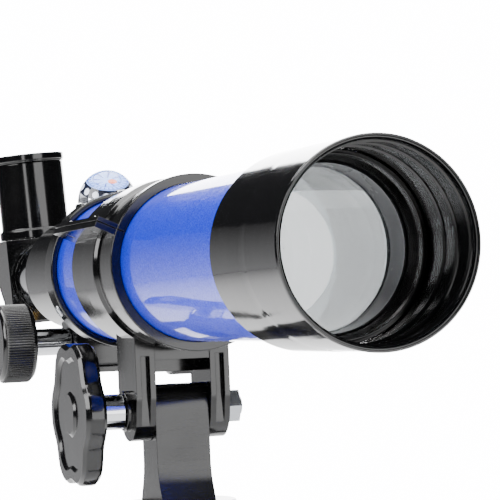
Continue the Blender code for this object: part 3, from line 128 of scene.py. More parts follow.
class Nodes:
    """The node tree of one material."""

    def __init__(self, tree: bpy.types.NodeTree) -> None:
        """Keeps the tree that the nodes go into."""
        self.tree = tree

    def add(self, kind: str, inputs: dict | None = None, **settings: object) -> bpy.types.Node:
        """Adds a node, sets its properties, and links or sets each input."""
        node = self.tree.nodes.new(kind)
        for name, value in settings.items():
            setattr(node, name, value)
        for key, value in (inputs or {}).items():
            if isinstance(value, Socket):
                self.tree.links.new(value, node.inputs[key])
            else:
                node.inputs[key].default_value = value
        return node

    def principled(self, inputs: dict) -> Socket:
        """A principled surface."""
        return self.add("ShaderNodeBsdfPrincipled", inputs).outputs[0]

    def position(self) -> Socket:
        """Position in the piece's own frame, in metres."""
        return self.add("ShaderNodeTexCoord").outputs["Object"]

    def noise(self, size: float, detail: float = 3.0, stretch: Point = (1.0, 1.0)) -> Socket:
        """Noise with features of this size in millimetres.

        Args:
            size: feature size across.
            detail: octaves.
            stretch: how much longer the features are along local X and Z.

        Returns:
            The noise's value socket.
        """
        scale = (1.0 / stretch[0], 1.0, 1.0 / stretch[1])
        mapped = self.add("ShaderNodeMapping", {"Vector": self.position(), "Scale": scale})
        inputs = {"Vector": mapped.outputs[0], "Scale": per_mm(size), "Detail": detail, "Roughness": 0.6}
        return self.add("ShaderNodeTexNoise", inputs).outputs[0]

    def ranged(self, value: Socket, low: float, high: float, start: float = 0.3, stop: float = 0.7) -> Socket:
        """Maps a value between start and stop to between low and high."""
        inputs = {"Value": value, "From Min": start, "From Max": stop, "To Min": low, "To Max": high}
        return self.add("ShaderNodeMapRange", inputs).outputs[0]

    def maths(self, operation: str, *values: Socket | float) -> Socket:
        """One maths node on these values."""
        return self.add("ShaderNodeMath", dict(enumerate(values)), operation=operation).outputs[0]

    def vector(self, operation: str, *values: object, output: str = "Vector") -> Socket:
        """One vector maths node on these values."""
        return self.add("ShaderNodeVectorMath", dict(enumerate(values)), operation=operation).outputs[output]

    def mixed(self, share: Socket | float, first: object, second: object) -> Socket:
        """Colour mix of first and second by share."""
        return self.add("ShaderNodeMix", {0: share, 6: first, 7: second}, data_type="RGBA").outputs[2]

    def relief(self, height: Socket, depth: float, edge: float) -> Socket:
        """Normal with this relief over edges rounded to a radius, both in millimetres."""
        rounded = self.add("ShaderNodeBevel", {"Radius": edge * MM}, samples=4).outputs[0]
        inputs = {"Height": height, "Distance": depth * MM, "Strength": 1.0, "Normal": rounded}
        return self.add("ShaderNodeBump", inputs).outputs[0]


@dataclass(frozen=True)
class Finish(ABC):
    """A surface finish that makes its node material once.

    Attributes:
        name: the material's name.
    """

    name: str

    def material(self) -> bpy.types.Material:
        """The material, made on first use."""
        made = bpy.data.materials.get(self.name)
        if made is None:
            made = bpy.data.materials.new(self.name)
            made.use_nodes = True
            made.node_tree.nodes.clear()
            nodes = Nodes(made.node_tree)
            nodes.add("ShaderNodeOutputMaterial", {"Surface": self.surface(nodes)})
        return made

    @abstractmethod
    def surface(self, nodes: Nodes) -> Socket:
        """Builds the nodes and returns the shader socket."""


@dataclass(frozen=True)
class Plastic(Finish):
    """A moulded plastic with a little dust on it.

    Attributes:
        colour: the plastic's colour.
        roughness: roughness where it is clean.
        edge: radius of its edges, millimetres.
        dust: share of the colour that a speck of dust covers.
        dust_colour: the dust's colour.
        dust_size: size of a speck, millimetres.
        dust_range: part of the noise's range in which specks start and are whole.
        ior: index of ABS.
    """

    colour: str = "#070708"
    roughness: float = 0.09
    edge: float = 0.35
    dust: float = 0.25
    dust_colour: str = "#8C8C8A"
    dust_size: float = 0.35
    dust_range: Point = (0.80, 0.86)
    ior: float = 1.54

    def dusted(self, nodes: Nodes, rough: Socket, normal: Socket) -> Socket:
        """The dusty surface with this roughness and normal."""
        specks = nodes.ranged(nodes.noise(self.dust_size, 1.0), 0.0, 1.0, *self.dust_range)
        cover = nodes.maths("MULTIPLY", specks, self.dust)
        base = nodes.mixed(cover, linear(self.colour), linear(self.dust_colour))
        return nodes.principled({"Base Color": base, "Roughness": rough, "IOR": self.ior, "Normal": normal})


@dataclass(frozen=True)
class MouldedPlastic(Plastic):
    """Injection-moulded ABS: slight orange peel, handling smudges and hairline wipe marks.

    Attributes:
        peel: size of the orange peel, millimetres.
        peel_depth: its depth, millimetres.
        smudge: size of a smudge, millimetres.
        smudge_rough: roughness that a smudge adds.
        wipe: width of a wipe mark, millimetres.
        wipe_stretch: how many times longer it is.
        wipe_rough: roughness that a mark adds.
        wipe_range: part of the noise's range in which marks start and are whole.
    """

    peel: float = 1.4
    peel_depth: float = 0.0018
    smudge: float = 22.0
    smudge_rough: float = 0.07
    wipe: float = 0.28
    wipe_stretch: float = 60.0
    wipe_rough: float = 0.12
    wipe_range: Point = (0.62, 0.72)

    def surface(self, nodes: Nodes) -> Socket:
        """Builds the nodes and returns the shader socket."""
        smudges = nodes.ranged(nodes.noise(self.smudge, 4.0), 0.0, self.smudge_rough)
        lines = nodes.noise(self.wipe, 2.0, (self.wipe_stretch, 1.0))
        wipes = nodes.ranged(lines, 0.0, self.wipe_rough, *self.wipe_range)
        rough = nodes.maths("ADD", nodes.maths("ADD", smudges, wipes), self.roughness)
        normal = nodes.relief(nodes.noise(self.peel, 2.0), self.peel_depth, self.edge)
        return self.dusted(nodes, rough, normal)


@dataclass(frozen=True)
class TurnedPlastic(Plastic):
    """Moulded plastic with fine rings about local Z left by the turned mould.

    Attributes:
        dust: share of the colour that a speck of dust covers.
        ring: spacing of the rings, millimetres.
        ring_depth: their depth, millimetres.
        grain: size of the grain between the rings, millimetres.
        grain_share: the grain's height against the rings'.
        smudge: size of a smudge, millimetres.
        smudge_rough: roughness that a smudge adds.
    """

    dust: float = 0.2
    ring: float = 0.7
    ring_depth: float = 0.004
    grain: float = 3.0
    grain_share: float = 0.35
    smudge: float = 18.0
    smudge_rough: float = 0.06

    def surface(self, nodes: Nodes) -> Socket:
        """Builds the nodes and returns the shader socket."""
        split = nodes.add("ShaderNodeSeparateXYZ", {0: nodes.position()})
        along = nodes.add("ShaderNodeCombineXYZ", {"Z": split.outputs[2]}).outputs[0]
        inputs = {"Vector": along, "Scale": per_mm(self.ring), "Detail": 4.0}
        rings = nodes.add("ShaderNodeTexNoise", inputs).outputs[0]
        grain = nodes.maths("MULTIPLY", nodes.noise(self.grain), self.grain_share)
        smudges = nodes.ranged(nodes.noise(self.smudge, 4.0), 0.0, self.smudge_rough)
        rough = nodes.maths("ADD", smudges, self.roughness)
        normal = nodes.relief(nodes.maths("ADD", rings, grain), self.ring_depth, self.edge)
        return self.dusted(nodes, rough, normal)


@dataclass(frozen=True)
class FlakeLacquer(Finish):
    """Blue lacquer with aluminium flake under a clear coat, sprayed on the metal tube; the flakes' sparkle is
    painted into its colour.

    Attributes:
        deep: painted shade, the colour of the flakes taken to lean away.
        bright: painted sheen, the colour of the flakes taken to face out.
        painted_glint: painted glint, the colour of the few brightest flakes.
        flake: size of a flake, millimetres.
        flake_range: part of the cells' range over which deep turns to bright.
        painted_glint_share: how far a painted glint covers the blue.
        painted_glint_range: part of the cells' range that gets a painted glint.
        tilt: how far a flake leans.
        metallic: the flakes' metalness.
        roughness: the flakes' roughness.
        coat: weight of the clear coat.
        coat_ior: its index.
        peel: size of its orange peel, millimetres.
        peel_depth: its depth, millimetres.
        edge: radius of the edges, millimetres.
        smudge: size of a smudge, millimetres.
        smudge_range: roughness of the coat, clean and smudged.
    """

    deep: str = "#0010D4"
    bright: str = "#0040FF"
    painted_glint: str = "#9FBCFF"
    flake: float = 0.32
    flake_range: Point = (0.15, 0.95)
    painted_glint_share: float = 0.5
    painted_glint_range: Point = (0.90, 0.99)
    tilt: float = 0.55
    metallic: float = 0.35
    roughness: float = 0.42
    coat: float = 0.75
    coat_ior: float = 1.5
    peel: float = 2.2
    peel_depth: float = 0.0022
    edge: float = 0.2
    smudge: float = 26.0
    smudge_range: Point = (0.02, 0.07)

    def surface(self, nodes: Nodes) -> Socket:
        """Builds the nodes and returns the shader socket."""
        inputs = {"Vector": nodes.position(), "Scale": per_mm(self.flake)}
        cells = nodes.add("ShaderNodeTexVoronoi", inputs).outputs["Color"]
        # Painted sparkle: random cells get a darker or lighter blue, and a few a pale painted glint, for light
        # caught by the flakes
        spread = nodes.ranged(cells, 0.0, 1.0, *self.flake_range)
        painted_glints = nodes.ranged(cells, 0.0, self.painted_glint_share, *self.painted_glint_range)
        base = nodes.mixed(spread, linear(self.deep), linear(self.bright))
        base = nodes.mixed(painted_glints, base, linear(self.painted_glint))
        normal = nodes.add("ShaderNodeNewGeometry").outputs["Normal"]
        centred = nodes.vector("SUBTRACT", cells, (0.5, 0.5, 0.5))
        leaned = nodes.vector("MULTIPLY_ADD", centred, (self.tilt,) * 3, normal)
        return nodes.principled({
            "Base Color": base, "Metallic": self.metallic, "Roughness": self.roughness,
            "Normal": nodes.vector("NORMALIZE", leaned),
            "Coat Weight": self.coat, "Coat IOR": self.coat_ior,
            "Coat Roughness": nodes.ranged(nodes.noise(self.smudge, 4.0), *self.smudge_range),
            "Coat Normal": nodes.relief(nodes.noise(self.peel, 2.0), self.peel_depth, self.edge),
        })


@dataclass(frozen=True)
class Metal(Finish):
    """Solid or plated metal with a fine lay and handling marks.

    Attributes:
        colour: the metal's colour.
        roughness: roughness where it is clean.
        lay: width of the lay's lines, millimetres.
        lay_stretch: how much longer they are along local X and Z.
        lay_depth: their depth, millimetres.
        lay_shade: how bright the lay's hollows are.
        lay_share: how far they show.
        mark: size of a handling mark, millimetres.
        uneven: roughness that the marks add.
        edge: radius of the edges, millimetres.
    """

    colour: str = "#D9DBDE"
    roughness: float = 0.06
    lay: float = 0.22
    lay_stretch: Point = (1.0, 1.0)
    lay_depth: float = 0.0006
    lay_shade: float = 0.8
    lay_share: float = 0.6
    mark: float = 9.0
    uneven: float = 0.05
    edge: float = 0.2

    def surface(self, nodes: Nodes) -> Socket:
        """Builds the nodes and returns the shader socket."""
        lines = nodes.noise(self.lay, 3.0, self.lay_stretch)
        marks = nodes.ranged(nodes.noise(self.mark, 4.0), 0.0, self.uneven)
        darker = tuple(self.lay_shade * channel for channel in linear(self.colour)[:3]) + (1.0,)
        return nodes.principled({
            "Base Color": nodes.mixed(nodes.ranged(lines, 0.0, self.lay_share), linear(self.colour), darker),
            "Metallic": 1.0, "Roughness": nodes.maths("ADD", marks, self.roughness),
            "Normal": nodes.relief(lines, self.lay_depth, self.edge),
        })


@dataclass(frozen=True)
class Clear(Finish):
    """Polished glass or clear acrylic with faint wipe marks; shadows pass through it.

    Attributes:
        tint: colour of what it lets through.
        ior: its index.
        coat: weight of an anti-reflection coating.
        coat_ior: the coating's index.
        smear: size of a smear, millimetres.
        smear_rough: roughness that a smear adds.
        speck: size of a speck of dust, millimetres.
        speck_rough: roughness that a speck adds.
        speck_range: part of the noise's range in which specks start and are whole.
        speck_colour: their colour.
    """

    tint: str = "#F4F8FA"
    ior: float = 1.52
    coat: float = 0.0
    coat_ior: float = 1.5
    smear: float = 14.0
    smear_rough: float = 0.02
    speck: float = 0.5
    speck_rough: float = 0.3
    speck_range: Point = (0.74, 0.80)
    speck_colour: str = "#C8CCCC"

    def surface(self, nodes: Nodes) -> Socket:
        """Builds the nodes and returns the shader socket."""
        smears = nodes.ranged(nodes.noise(self.smear, 4.0), 0.0, self.smear_rough)
        specks = nodes.ranged(nodes.noise(self.speck, 1.0), 0.0, self.speck_rough, *self.speck_range)
        glass = nodes.principled({
            "Base Color": nodes.mixed(specks, linear(self.tint), linear(self.speck_colour)),
            "Roughness": nodes.maths("ADD", smears, specks), "IOR": self.ior, "Transmission Weight": 1.0,
            "Coat Weight": self.coat, "Coat IOR": self.coat_ior,
        })
        passing = nodes.add("ShaderNodeBsdfTransparent", {"Color": linear(self.tint)}).outputs[0]
        shadow = nodes.add("ShaderNodeLightPath").outputs["Is Shadow Ray"]
        return nodes.add("ShaderNodeMixShader", {0: shadow, 1: glass, 2: passing}).outputs[0]


@dataclass(frozen=True)
class Rubber(Finish):
    """Moulded rubber with a fine grain and dust in it.

    Attributes:
        colour: the rubber's colour.
        grain: size of the grain, millimetres.
        grain_depth: its depth, millimetres.
        rough_range: roughness, low and high in the grain.
        dust_colour: the dust's colour.
        dust: size of a patch of dust, millimetres.
        dust_share: how far it covers the rubber.
        dust_range: part of the noise's range in which patches start and are whole.
        ior: its index.
        edge: radius of the edges, millimetres.
    """

    colour: str = "#141414"
    grain: float = 0.5
    grain_depth: float = 0.03
    rough_range: Point = (0.65, 0.85)
    dust_colour: str = "#6E6A64"
    dust: float = 6.0
    dust_share: float = 0.25
    dust_range: Point = (0.45, 0.75)
    ior: float = 1.52
    edge: float = 0.5

    def surface(self, nodes: Nodes) -> Socket:
        """Builds the nodes and returns the shader socket."""
        grain = nodes.noise(self.grain, 3.0)
        dust = nodes.ranged(nodes.noise(self.dust, 4.0), 0.0, self.dust_share, *self.dust_range)
        return nodes.principled({
            "Base Color": nodes.mixed(dust, linear(self.colour), linear(self.dust_colour)),
            "Roughness": nodes.ranged(grain, *self.rough_range), "IOR": self.ior,
            "Normal": nodes.relief(grain, self.grain_depth, self.edge),
        })


@dataclass(frozen=True)
class PrintedCard(Finish):
    """Compass card: screen-printed rings and ticks on a pale face, oval windows on a dark skirt.

    Attributes:
        face: colour of the face.
        ink: colour of the print.
        skirt: colour of the skirt.
        window: colour of its windows.
        mark: colour of the spot.
        radius: the face's radius, millimetres.
        ticks: number of ticks round the edge.
        points: number of points round the middle.
        windows: number of windows round the skirt.
        window_height: height of their middles, millimetres.
        window_half: half a window's height, millimetres.
        window_share: half a window's width, as a share of its pitch.
        skirt_top: height below which the skirt starts, millimetres.
        grain: size of the card's grain, millimetres.
        grain_depth: its depth, millimetres.
        rough_range: roughness, low and high in the grain.
        ior: index of styrene.
        edge: radius of the edges, millimetres.
    """

    face: str = "#8FB0F4"
    ink: str = "#143A9E"
    skirt: str = "#03081C"
    window: str = "#F2F5FA"
    mark: str = "#E2602A"
    radius: float = 7.2
    ticks: int = 24
    points: int = 8
    windows: int = 12
    window_height: float = -2.4
    window_half: float = 1.25
    window_share: float = 0.30
    skirt_top: float = -0.25
    grain: float = 0.3
    grain_depth: float = 0.002
    rough_range: Point = (0.28, 0.4)
    ior: float = 1.49
    edge: float = 0.15

    def surface(self, nodes: Nodes) -> Socket:
        """Builds the nodes and returns the shader socket."""
        split = nodes.add("ShaderNodeSeparateXYZ", {0: nodes.position()})
        x, y, z = [nodes.maths("DIVIDE", axis, MM) for axis in split.outputs]
        flat = nodes.add("ShaderNodeCombineXYZ", {"X": x, "Y": y}).outputs[0]
        distance = nodes.vector("LENGTH", flat, output="Value")
        turn = nodes.maths("DIVIDE", nodes.maths("ARCTAN2", y, x), 2 * pi)
        radius = self.radius

        def cell(count: int) -> Socket:
            return nodes.maths("FRACT", nodes.maths("MULTIPLY", turn, float(count)))

        def ring(at: float, half: float) -> Socket:
            return nodes.maths("COMPARE", distance, at, half)

        def spokes(count: int, width: float, at: float, half: float) -> Socket:
            return nodes.maths("MULTIPLY", nodes.maths("COMPARE", cell(count), 0.5, width), ring(at, half))

        ink = nodes.maths("MAXIMUM", ring(radius * 0.93, 0.18), ring(radius * 0.62, 0.12))
        for line in (
            spokes(self.ticks, 0.12, radius * 0.80, radius * 0.10),
            spokes(self.points, 0.10, radius * 0.42, radius * 0.18),
        ):
            ink = nodes.maths("MAXIMUM", ink, line)
        away = nodes.vector("DISTANCE", flat, (radius * 0.22, -radius * 0.12, 0.0), output="Value")
        spot = nodes.maths("LESS_THAN", away, radius * 0.20)
        card = nodes.mixed(spot, nodes.mixed(ink, linear(self.face), linear(self.ink)), linear(self.mark))
        across = nodes.maths("DIVIDE", nodes.maths("SUBTRACT", cell(self.windows), 0.5), self.window_share)
        height = nodes.maths("DIVIDE", nodes.maths("SUBTRACT", z, self.window_height), self.window_half)
        squares = [nodes.maths("MULTIPLY", value, value) for value in (across, height)]
        opened = nodes.maths("LESS_THAN", nodes.maths("ADD", *squares), 1.0)
        side = nodes.mixed(opened, linear(self.skirt), linear(self.window))
        grain = nodes.noise(self.grain, 2.0)
        return nodes.principled({
            "Base Color": nodes.mixed(nodes.maths("LESS_THAN", z, self.skirt_top), card, side),
            "Roughness": nodes.ranged(grain, *self.rough_range), "IOR": self.ior,
            "Normal": nodes.relief(grain, self.grain_depth, self.edge),
        })


@dataclass(frozen=True)
class Paper(Finish):
    """Matt paper with a faint grain.

    Attributes:
        colour: the paper's colour.
        grain: size of the grain, millimetres.
        rough_range: roughness, low and high in the grain.
    """

    colour: str = "#ECECEC"
    grain: float = 1.5
    rough_range: Point = (0.7, 0.9)

    def surface(self, nodes: Nodes) -> Socket:
        """Builds the nodes and returns the shader socket."""
        inputs = {"Vector": nodes.position(), "Scale": per_mm(self.grain)}
        grain = nodes.add("ShaderNodeTexNoise", inputs).outputs[0]
        rough = nodes.ranged(grain, *self.rough_range, 0.0, 1.0)
        return nodes.principled({"Base Color": linear(self.colour), "Roughness": rough})


@dataclass(frozen=True)
class Glow(Finish):
    """A lit panel, from one strength at its bottom edge to another at its top.

    Attributes:
        low: strength at the bottom.
        high: strength at the top.
        colour: the light's colour.
    """

    low: float = 1.0
    high: float = 1.0
    colour: str = "#FDFDFF"

    def surface(self, nodes: Nodes) -> Socket:
        """Builds the nodes and returns the shader socket."""
        place = nodes.add("ShaderNodeTexCoord").outputs["Generated"]
        height = nodes.add("ShaderNodeSeparateXYZ", {0: place}).outputs[1]
        strength = nodes.ranged(height, self.low, self.high, 0.0, 1.0)
        inputs = {"Color": linear(self.colour), "Strength": strength}
        return nodes.add("ShaderNodeEmission", inputs).outputs[0]


# High-gloss injection-moulded ABS, as polished as its mould
GLOSS_BLACK = MouldedPlastic("abs_black_gloss_moulded")
# The dew shield's ABS, with the mould's turning lines
SHIELD_BLACK = TurnedPlastic("abs_black_gloss_turned_mould", roughness=0.05, ring=6.0, ring_depth=0.03)
# Inside of the dew shield and cell: semi-gloss with coarser rings
INNER_BLACK = TurnedPlastic(
    "abs_black_semigloss_inner", colour="#030304", roughness=0.12, ring=5.0, ring_depth=0.004, edge=0.04,
)
# Retaining ring: pale semi-gloss moulding round the objective
RETAINER_GREY = TurnedPlastic(
    "abs_grey_semigloss_ring", colour="#A7A9AD", roughness=0.24, ring=0.8, ring_depth=0.015,
)
# Satin-moulded ABS of the mount, knobs and tripod hub
SATIN_BLACK = MouldedPlastic(
    "abs_black_satin_moulded", colour="#0B0B0C", roughness=0.20, peel=0.9, peel_depth=0.003,
)
# Matt black paint inside the tube
FLAT_BLACK = MouldedPlastic(
    "matt_black_baffle_paint", colour="#060606", roughness=0.65, peel=0.4, peel_depth=0.01,
)
# Metallic blue lacquer over the aluminium tube, with painted flake sparkle and glints
BLUE_LACQUER = FlakeLacquer("blue_flake_lacquer_painted_sparkle")
# Bright chrome plate on turned steel
CHROME = Metal("chrome_plate_on_turned_steel")
# Zinc-plated steel screws
ZINC = Metal("zinc_plated_steel", colour="#B4B7BB", roughness=0.22, lay_depth=0.002)
# Satin-anodised drawn aluminium tube
ANODISED = Metal(
    "aluminium_satin_anodised", colour="#C6C8CB", roughness=0.30, lay=0.12, lay_stretch=(1.0, 90.0),
)
# Machined brass
BRASS = Metal("brass_machined", colour="#C9A25A", roughness=0.24, lay=0.3, lay_depth=0.002)
# Front-silvered float glass
MIRROR = Metal("silvered_mirror_glass", colour="#E8EAEC", roughness=0.02, uneven=0.01, lay_depth=0.0001)
# Crown and flint glass with a broadband coating
LENS_GLASS = Clear("optical_glass_coated", coat=1.0, coat_ior=1.75)
# Clear moulded acrylic, filled with damping liquid of nearly the same index
ACRYLIC = Clear("acrylic_clear_moulded", tint="#F2F6FF", ior=1.49)
# Screen-printed styrene card
CARD = PrintedCard("styrene_printed_card")
# Moulded rubber
RUBBER = Rubber("rubber_black_moulded")
# Matt white paper of the sweep
SWEEP_PAPER = Paper("white_paper_sweep")


# --------------------------------------------------------------------------------------------------
# Shapes
# --------------------------------------------------------------------------------------------------


def arc(radius: float, start: float, stop: float, steps: int, centre: Point = (0.0, 0.0)) -> list[Point]:
    """Points along an arc, angles in degrees."""
    turns = [radians(start + (stop - start) * step / steps) for step in range(steps + 1)]
    return [(centre[0] + radius * cos(turn), centre[1] + radius * sin(turn)) for turn in turns]


def eased(points: Profile, radius: float, steps: int = 4, closed: bool = True) -> list[Point]:
    """The outline with each corner rounded by about this radius.

    Args:
        points: corners in order.
        radius: how far along each side the rounding starts, at most.
        steps: segments in each rounding.
        closed: whether the last point joins the first; the ends of an open outline stay as they are.
    """
    corners = [Vector(point) for point in points]
    made: list[Point] = []
    for number, corner in enumerate(corners):
        if not closed and number in (0, len(corners) - 1):
            made.append(tuple(corner))
            continue
        before = corners[number - 1] - corner
        after = corners[(number + 1) % len(corners)] - corner
        reach = min(radius, before.length * 0.45, after.length * 0.45)
        start = corner + before.normalized() * reach
        stop = corner + after.normalized() * reach
        for step in range(steps + 1):
            share = step / steps
            made.append(tuple(start * (1 - share) ** 2 + corner * 2 * share * (1 - share) + stop * share**2))
    return made


class Shape:
    """Closed shells gathered in one mesh, in the millimetres of one assembly's frame."""

    def __init__(self, name: str, place: Matrix) -> None:
        """Starts an empty shape.

        Args:
            name: the piece's name.
            place: where its frame stands in the world, translation in metres.
        """
        self.name = name
        self.place = place
        self.maker = bmesh.new()

    def _add(self, rings: list[list[Vector]], wrap: bool, cap: bool, at: Matrix) -> "Shape":
        """Joins equal rings of points into a shell, capping its ends if it doesn't wrap round."""
        rows = [[self.maker.verts.new(at @ point) for point in ring] for ring in rings]
        count = len(rows[0])
        pairs = list(zip(rows, rows[1:]))
        if wrap:
            pairs.append((rows[-1], rows[0]))
        for one, two in pairs:
            for index in range(count):
                after = (index + 1) % count
                self.maker.faces.new((one[index], one[after], two[after], two[index]))
        if cap:
            self.maker.faces.new(rows[0])
            self.maker.faces.new(rows[-1][::-1])
        return self

    def turned(self, profile: Profile, sides: int = FINE, at: Matrix = Matrix.Identity(4),
               wave: Callable[[float], float] | None = None, still: float = 0.0) -> "Shape":
        """Adds a ring or solid turned about local Z.

        Args:
            profile: (radius, height) points; one that starts and ends on the axis makes a solid.
            sides: facets round.
            at: where it stands in the shape's frame.
            wave: factor on the radius at each angle, for grips and lobes.
            still: radius up to which the wave leaves points where they are.

        Returns:
            The shape.
        """
        rings = []
        for side in range(sides):
            turn = 2 * pi * side / sides
            scale = wave(turn) if wave else 1.0
            ring = []
            for radius, height in profile:
                reach = radius * scale if radius > still else radius
                ring.append(Vector((reach * cos(turn), reach * sin(turn), height)))
            rings.append(ring)
        return self._add(rings, True, False, at)

    def rod(self, radius: float, low: float, high: float, at: Matrix = Matrix.Identity(4),
            sides: int = COARSE) -> "Shape":
        """Adds a cylinder along local Z from low to high."""
        return self.turned([(0.0, low), (radius, low), (radius, high), (0.0, high)], sides, at)

    def prism(self, outline: Profile, low: float, high: float, axis: str = "z",
              at: Matrix = Matrix.Identity(4)) -> "Shape":
        """Adds an outline pushed from low to high along local x, y or z."""
        orders: dict[str, Callable[[float, float, float], tuple[float, float, float]]] = {
            "x": lambda a, b, c: (c, a, b), "y": lambda a, b, c: (a, c, b), "z": lambda a, b, c: (a, b, c),
        }
        order = orders[axis]
        rings = [[Vector(order(a, b, level)) for a, b in outline] for level in (low, high)]
        return self._add(rings, False, True, at)

    def block(self, low: Sequence[float], high: Sequence[float], at: Matrix = Matrix.Identity(4)) -> "Shape":
        """Adds a box between two corners."""
        outline = [(low[0], low[1]), (high[0], low[1]), (high[0], high[1]), (low[0], high[1])]
        return self.prism(outline, low[2], high[2], "z", at)

    def _mesh(self) -> bpy.types.Mesh:
        """The shells as a mesh in metres, their faces pointing out."""
        bmesh.ops.remove_doubles(self.maker, verts=self.maker.verts, dist=1e-4)
        bmesh.ops.recalc_face_normals(self.maker, faces=self.maker.faces)
        self.maker.transform(Matrix.Scale(MM, 4))
        mesh = bpy.data.meshes.new(self.name)
        self.maker.to_mesh(mesh)
        self.maker.transform(Matrix.Scale(1.0 / MM, 4))
        return mesh

    def _object(self) -> bpy.types.Object:
        """A linked object of the shape, at its place."""
        made = bpy.data.objects.new(self.name, self._mesh())
        bpy.context.scene.collection.objects.link(made)
        made.matrix_world = self.place
        return made

    def change(self, operation: Boolean, *tools: "Shape") -> "Shape":
        """Cuts away or joins on each tool, which shares this shape's frame."""
        target = self._object()
        helpers = [tool._object() for tool in tools]
        for helper in helpers:
            modifier = target.modifiers.new("tool", "BOOLEAN")
            modifier.operation = operation.value
            modifier.solver = "EXACT"
            modifier.use_self = False
            modifier.object = helper
        bpy.context.view_layer.update()
        baked = bpy.data.meshes.new_from_object(target.evaluated_get(bpy.context.evaluated_depsgraph_get()))
        self.maker.clear()
        self.maker.from_mesh(baked)
        self.maker.transform(Matrix.Scale(1.0 / MM, 4))
        for helper in [target, *helpers]:
            bpy.data.objects.remove(helper)
        return self

    def piece(self, body: str, finish: Finish, slot: str, replaced: Sequence[str] = (), crease: float = 38.0,
              inside: tuple[Finish, Callable[[Vector], bool]] | None = None) -> bpy.types.Object:
        """Makes the finished piece.

        Args:
            body: CAD body it rides on.
            finish: its surface.
            slot: the record's material slot; not used.
            replaced: CAD nodes it stands for; its own name if left out.
            crease: angle above which an edge stays sharp, degrees.
            inside: a second finish, and the test for the faces that have it, on a face's centre in millimetres.

        Returns:
            The object.
        """
        made = self._object()
        mesh = made.data
        mesh.shade_smooth()
        mesh.set_sharp_from_angle(angle=radians(crease))
        mesh.materials.append(finish.material())
        if inside:
            mesh.materials.append(inside[0].material())
            for face in mesh.polygons:
                face.material_index = int(inside[1](face.center / MM))
        weighted = made.modifiers.new("weighted", "WEIGHTED_NORMAL")
        weighted.keep_sharp = True
        self.maker.free()
        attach(made, body)
        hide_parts(*(replaced or (self.name,)))
        return made


def ridged(count: int, depth: float, power: float = 1.0) -> Callable[[float], float]:
    """Radius factor of a grip with this many ridges, each this share of the radius deep."""
    return lambda turn: 1.0 - depth * abs(sin(count * turn / 2)) ** power


def within(radius: float, behind: float = -inf) -> Callable[[Vector], bool]:
    """Test of whether a face's centre is inside this radius, and further along local Z than behind."""
    return lambda centre: Vector((centre.x, centre.y)).length < radius and centre.z > behind


def retint(nodes: Sequence[str], finish: Finish) -> None:
    """Gives CAD nodes that stay a finish."""
    for node in nodes:
        slots = frame["nodes"][node].data.materials
        slots.clear()
        slots.append(finish.material())


def centre_of(node: str) -> Vector:
    """Centre of a CAD node's box, metres."""
    low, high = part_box(node)
    return (low + high) / 2


def tube_frame() -> Matrix:
    """The optical axis: from the middle of the dew shield's front rim, back along local Z."""
    low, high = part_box("dew_shield")
    start = Vector(((low.x + high.x) / 2, low.y, (low.z + high.z) / 2))
    return Matrix.Translation(start) @ Matrix.Rotation(radians(-90.0), 4, "X")


# --------------------------------------------------------------------------------------------------
# Assemblies
# --------------------------------------------------------------------------------------------------


class Assembly(ABC):
    """A group of pieces that share a frame."""

    def __init__(self, place: Matrix) -> None:
        """Keeps the frame's place in the world."""
        self.place = place

    def shape(self, name: str, at: Matrix = Matrix.Identity(4)) -> Shape:
        """An empty shape whose own frame stands at this place, in millimetres, of the assembly's frame."""
        rotation = at.to_3x3().to_4x4()
        return Shape(name, self.place @ Matrix.Translation(at.translation * MM) @ rotation)

    @abstractmethod
    def build(self) -> None:
        """Makes the assembly's pieces."""


def lens_profile(radius: float, start: float, edge: float, front_sag: float, rear_sag: float) -> list[Point]:
    """Profile of a lens whose edge runs from start over edge; a positive sag bulges outwards."""

    def face(rim: float, sag: float, sign: float) -> list[Point]:
        if sag == 0.0:
            return [(0.0, rim), (radius - 0.25, rim)]
        bend = (radius**2 + sag**2) / (2 * abs(sag))
        rise = sqrt(bend**2 - radius**2)
        turn = 1.0 if sag > 0 else -1.0
        rings = [(radius - 0.25) * step / 20 for step in range(21)]
        return [(ring, rim + sign * turn * (sqrt(bend**2 - ring**2) - rise)) for ring in rings]

    bevel = [(radius, start + 0.25), (radius, start + edge - 0.25)]
    return face(start, front_sag, -1.0) + bevel + face(start + edge, rear_sag, 1.0)[::-1]


@dataclass(frozen=True)
class ShieldSize:
    """Dew shield."""

    outer: float = 35.0
    inner: float = 33.0
    length: float = 70.0
    ridges: tuple[float, ...] = (4.3, 15.0, 25.5)
    ridge_rise: float = 0.7


@dataclass(frozen=True)
class ObjectiveSize:
    """Objective lens, its cell and the tube."""

    cell_outer: float = 32.7
    cell_front: float = 39.0
    cell_rear: float = 68.0
    mouth_wall: float = 1.8
    lip_at: float = 51.0
    lip: float = 29.0
    rim: float = 1.4
    glass: float = 30.0
    glass_front: float = 63.3
    crown_edge: float = 3.2
    sag: float = 1.3
    flint_edge: float = 4.2
    gap: float = 0.3
    bead: float = 2.0
    bead_thickness: float = 1.0
    tube: float = 31.5
    bore: float = 30.3
    tube_front: float = 61.6
    tube_rear: float = 313.7


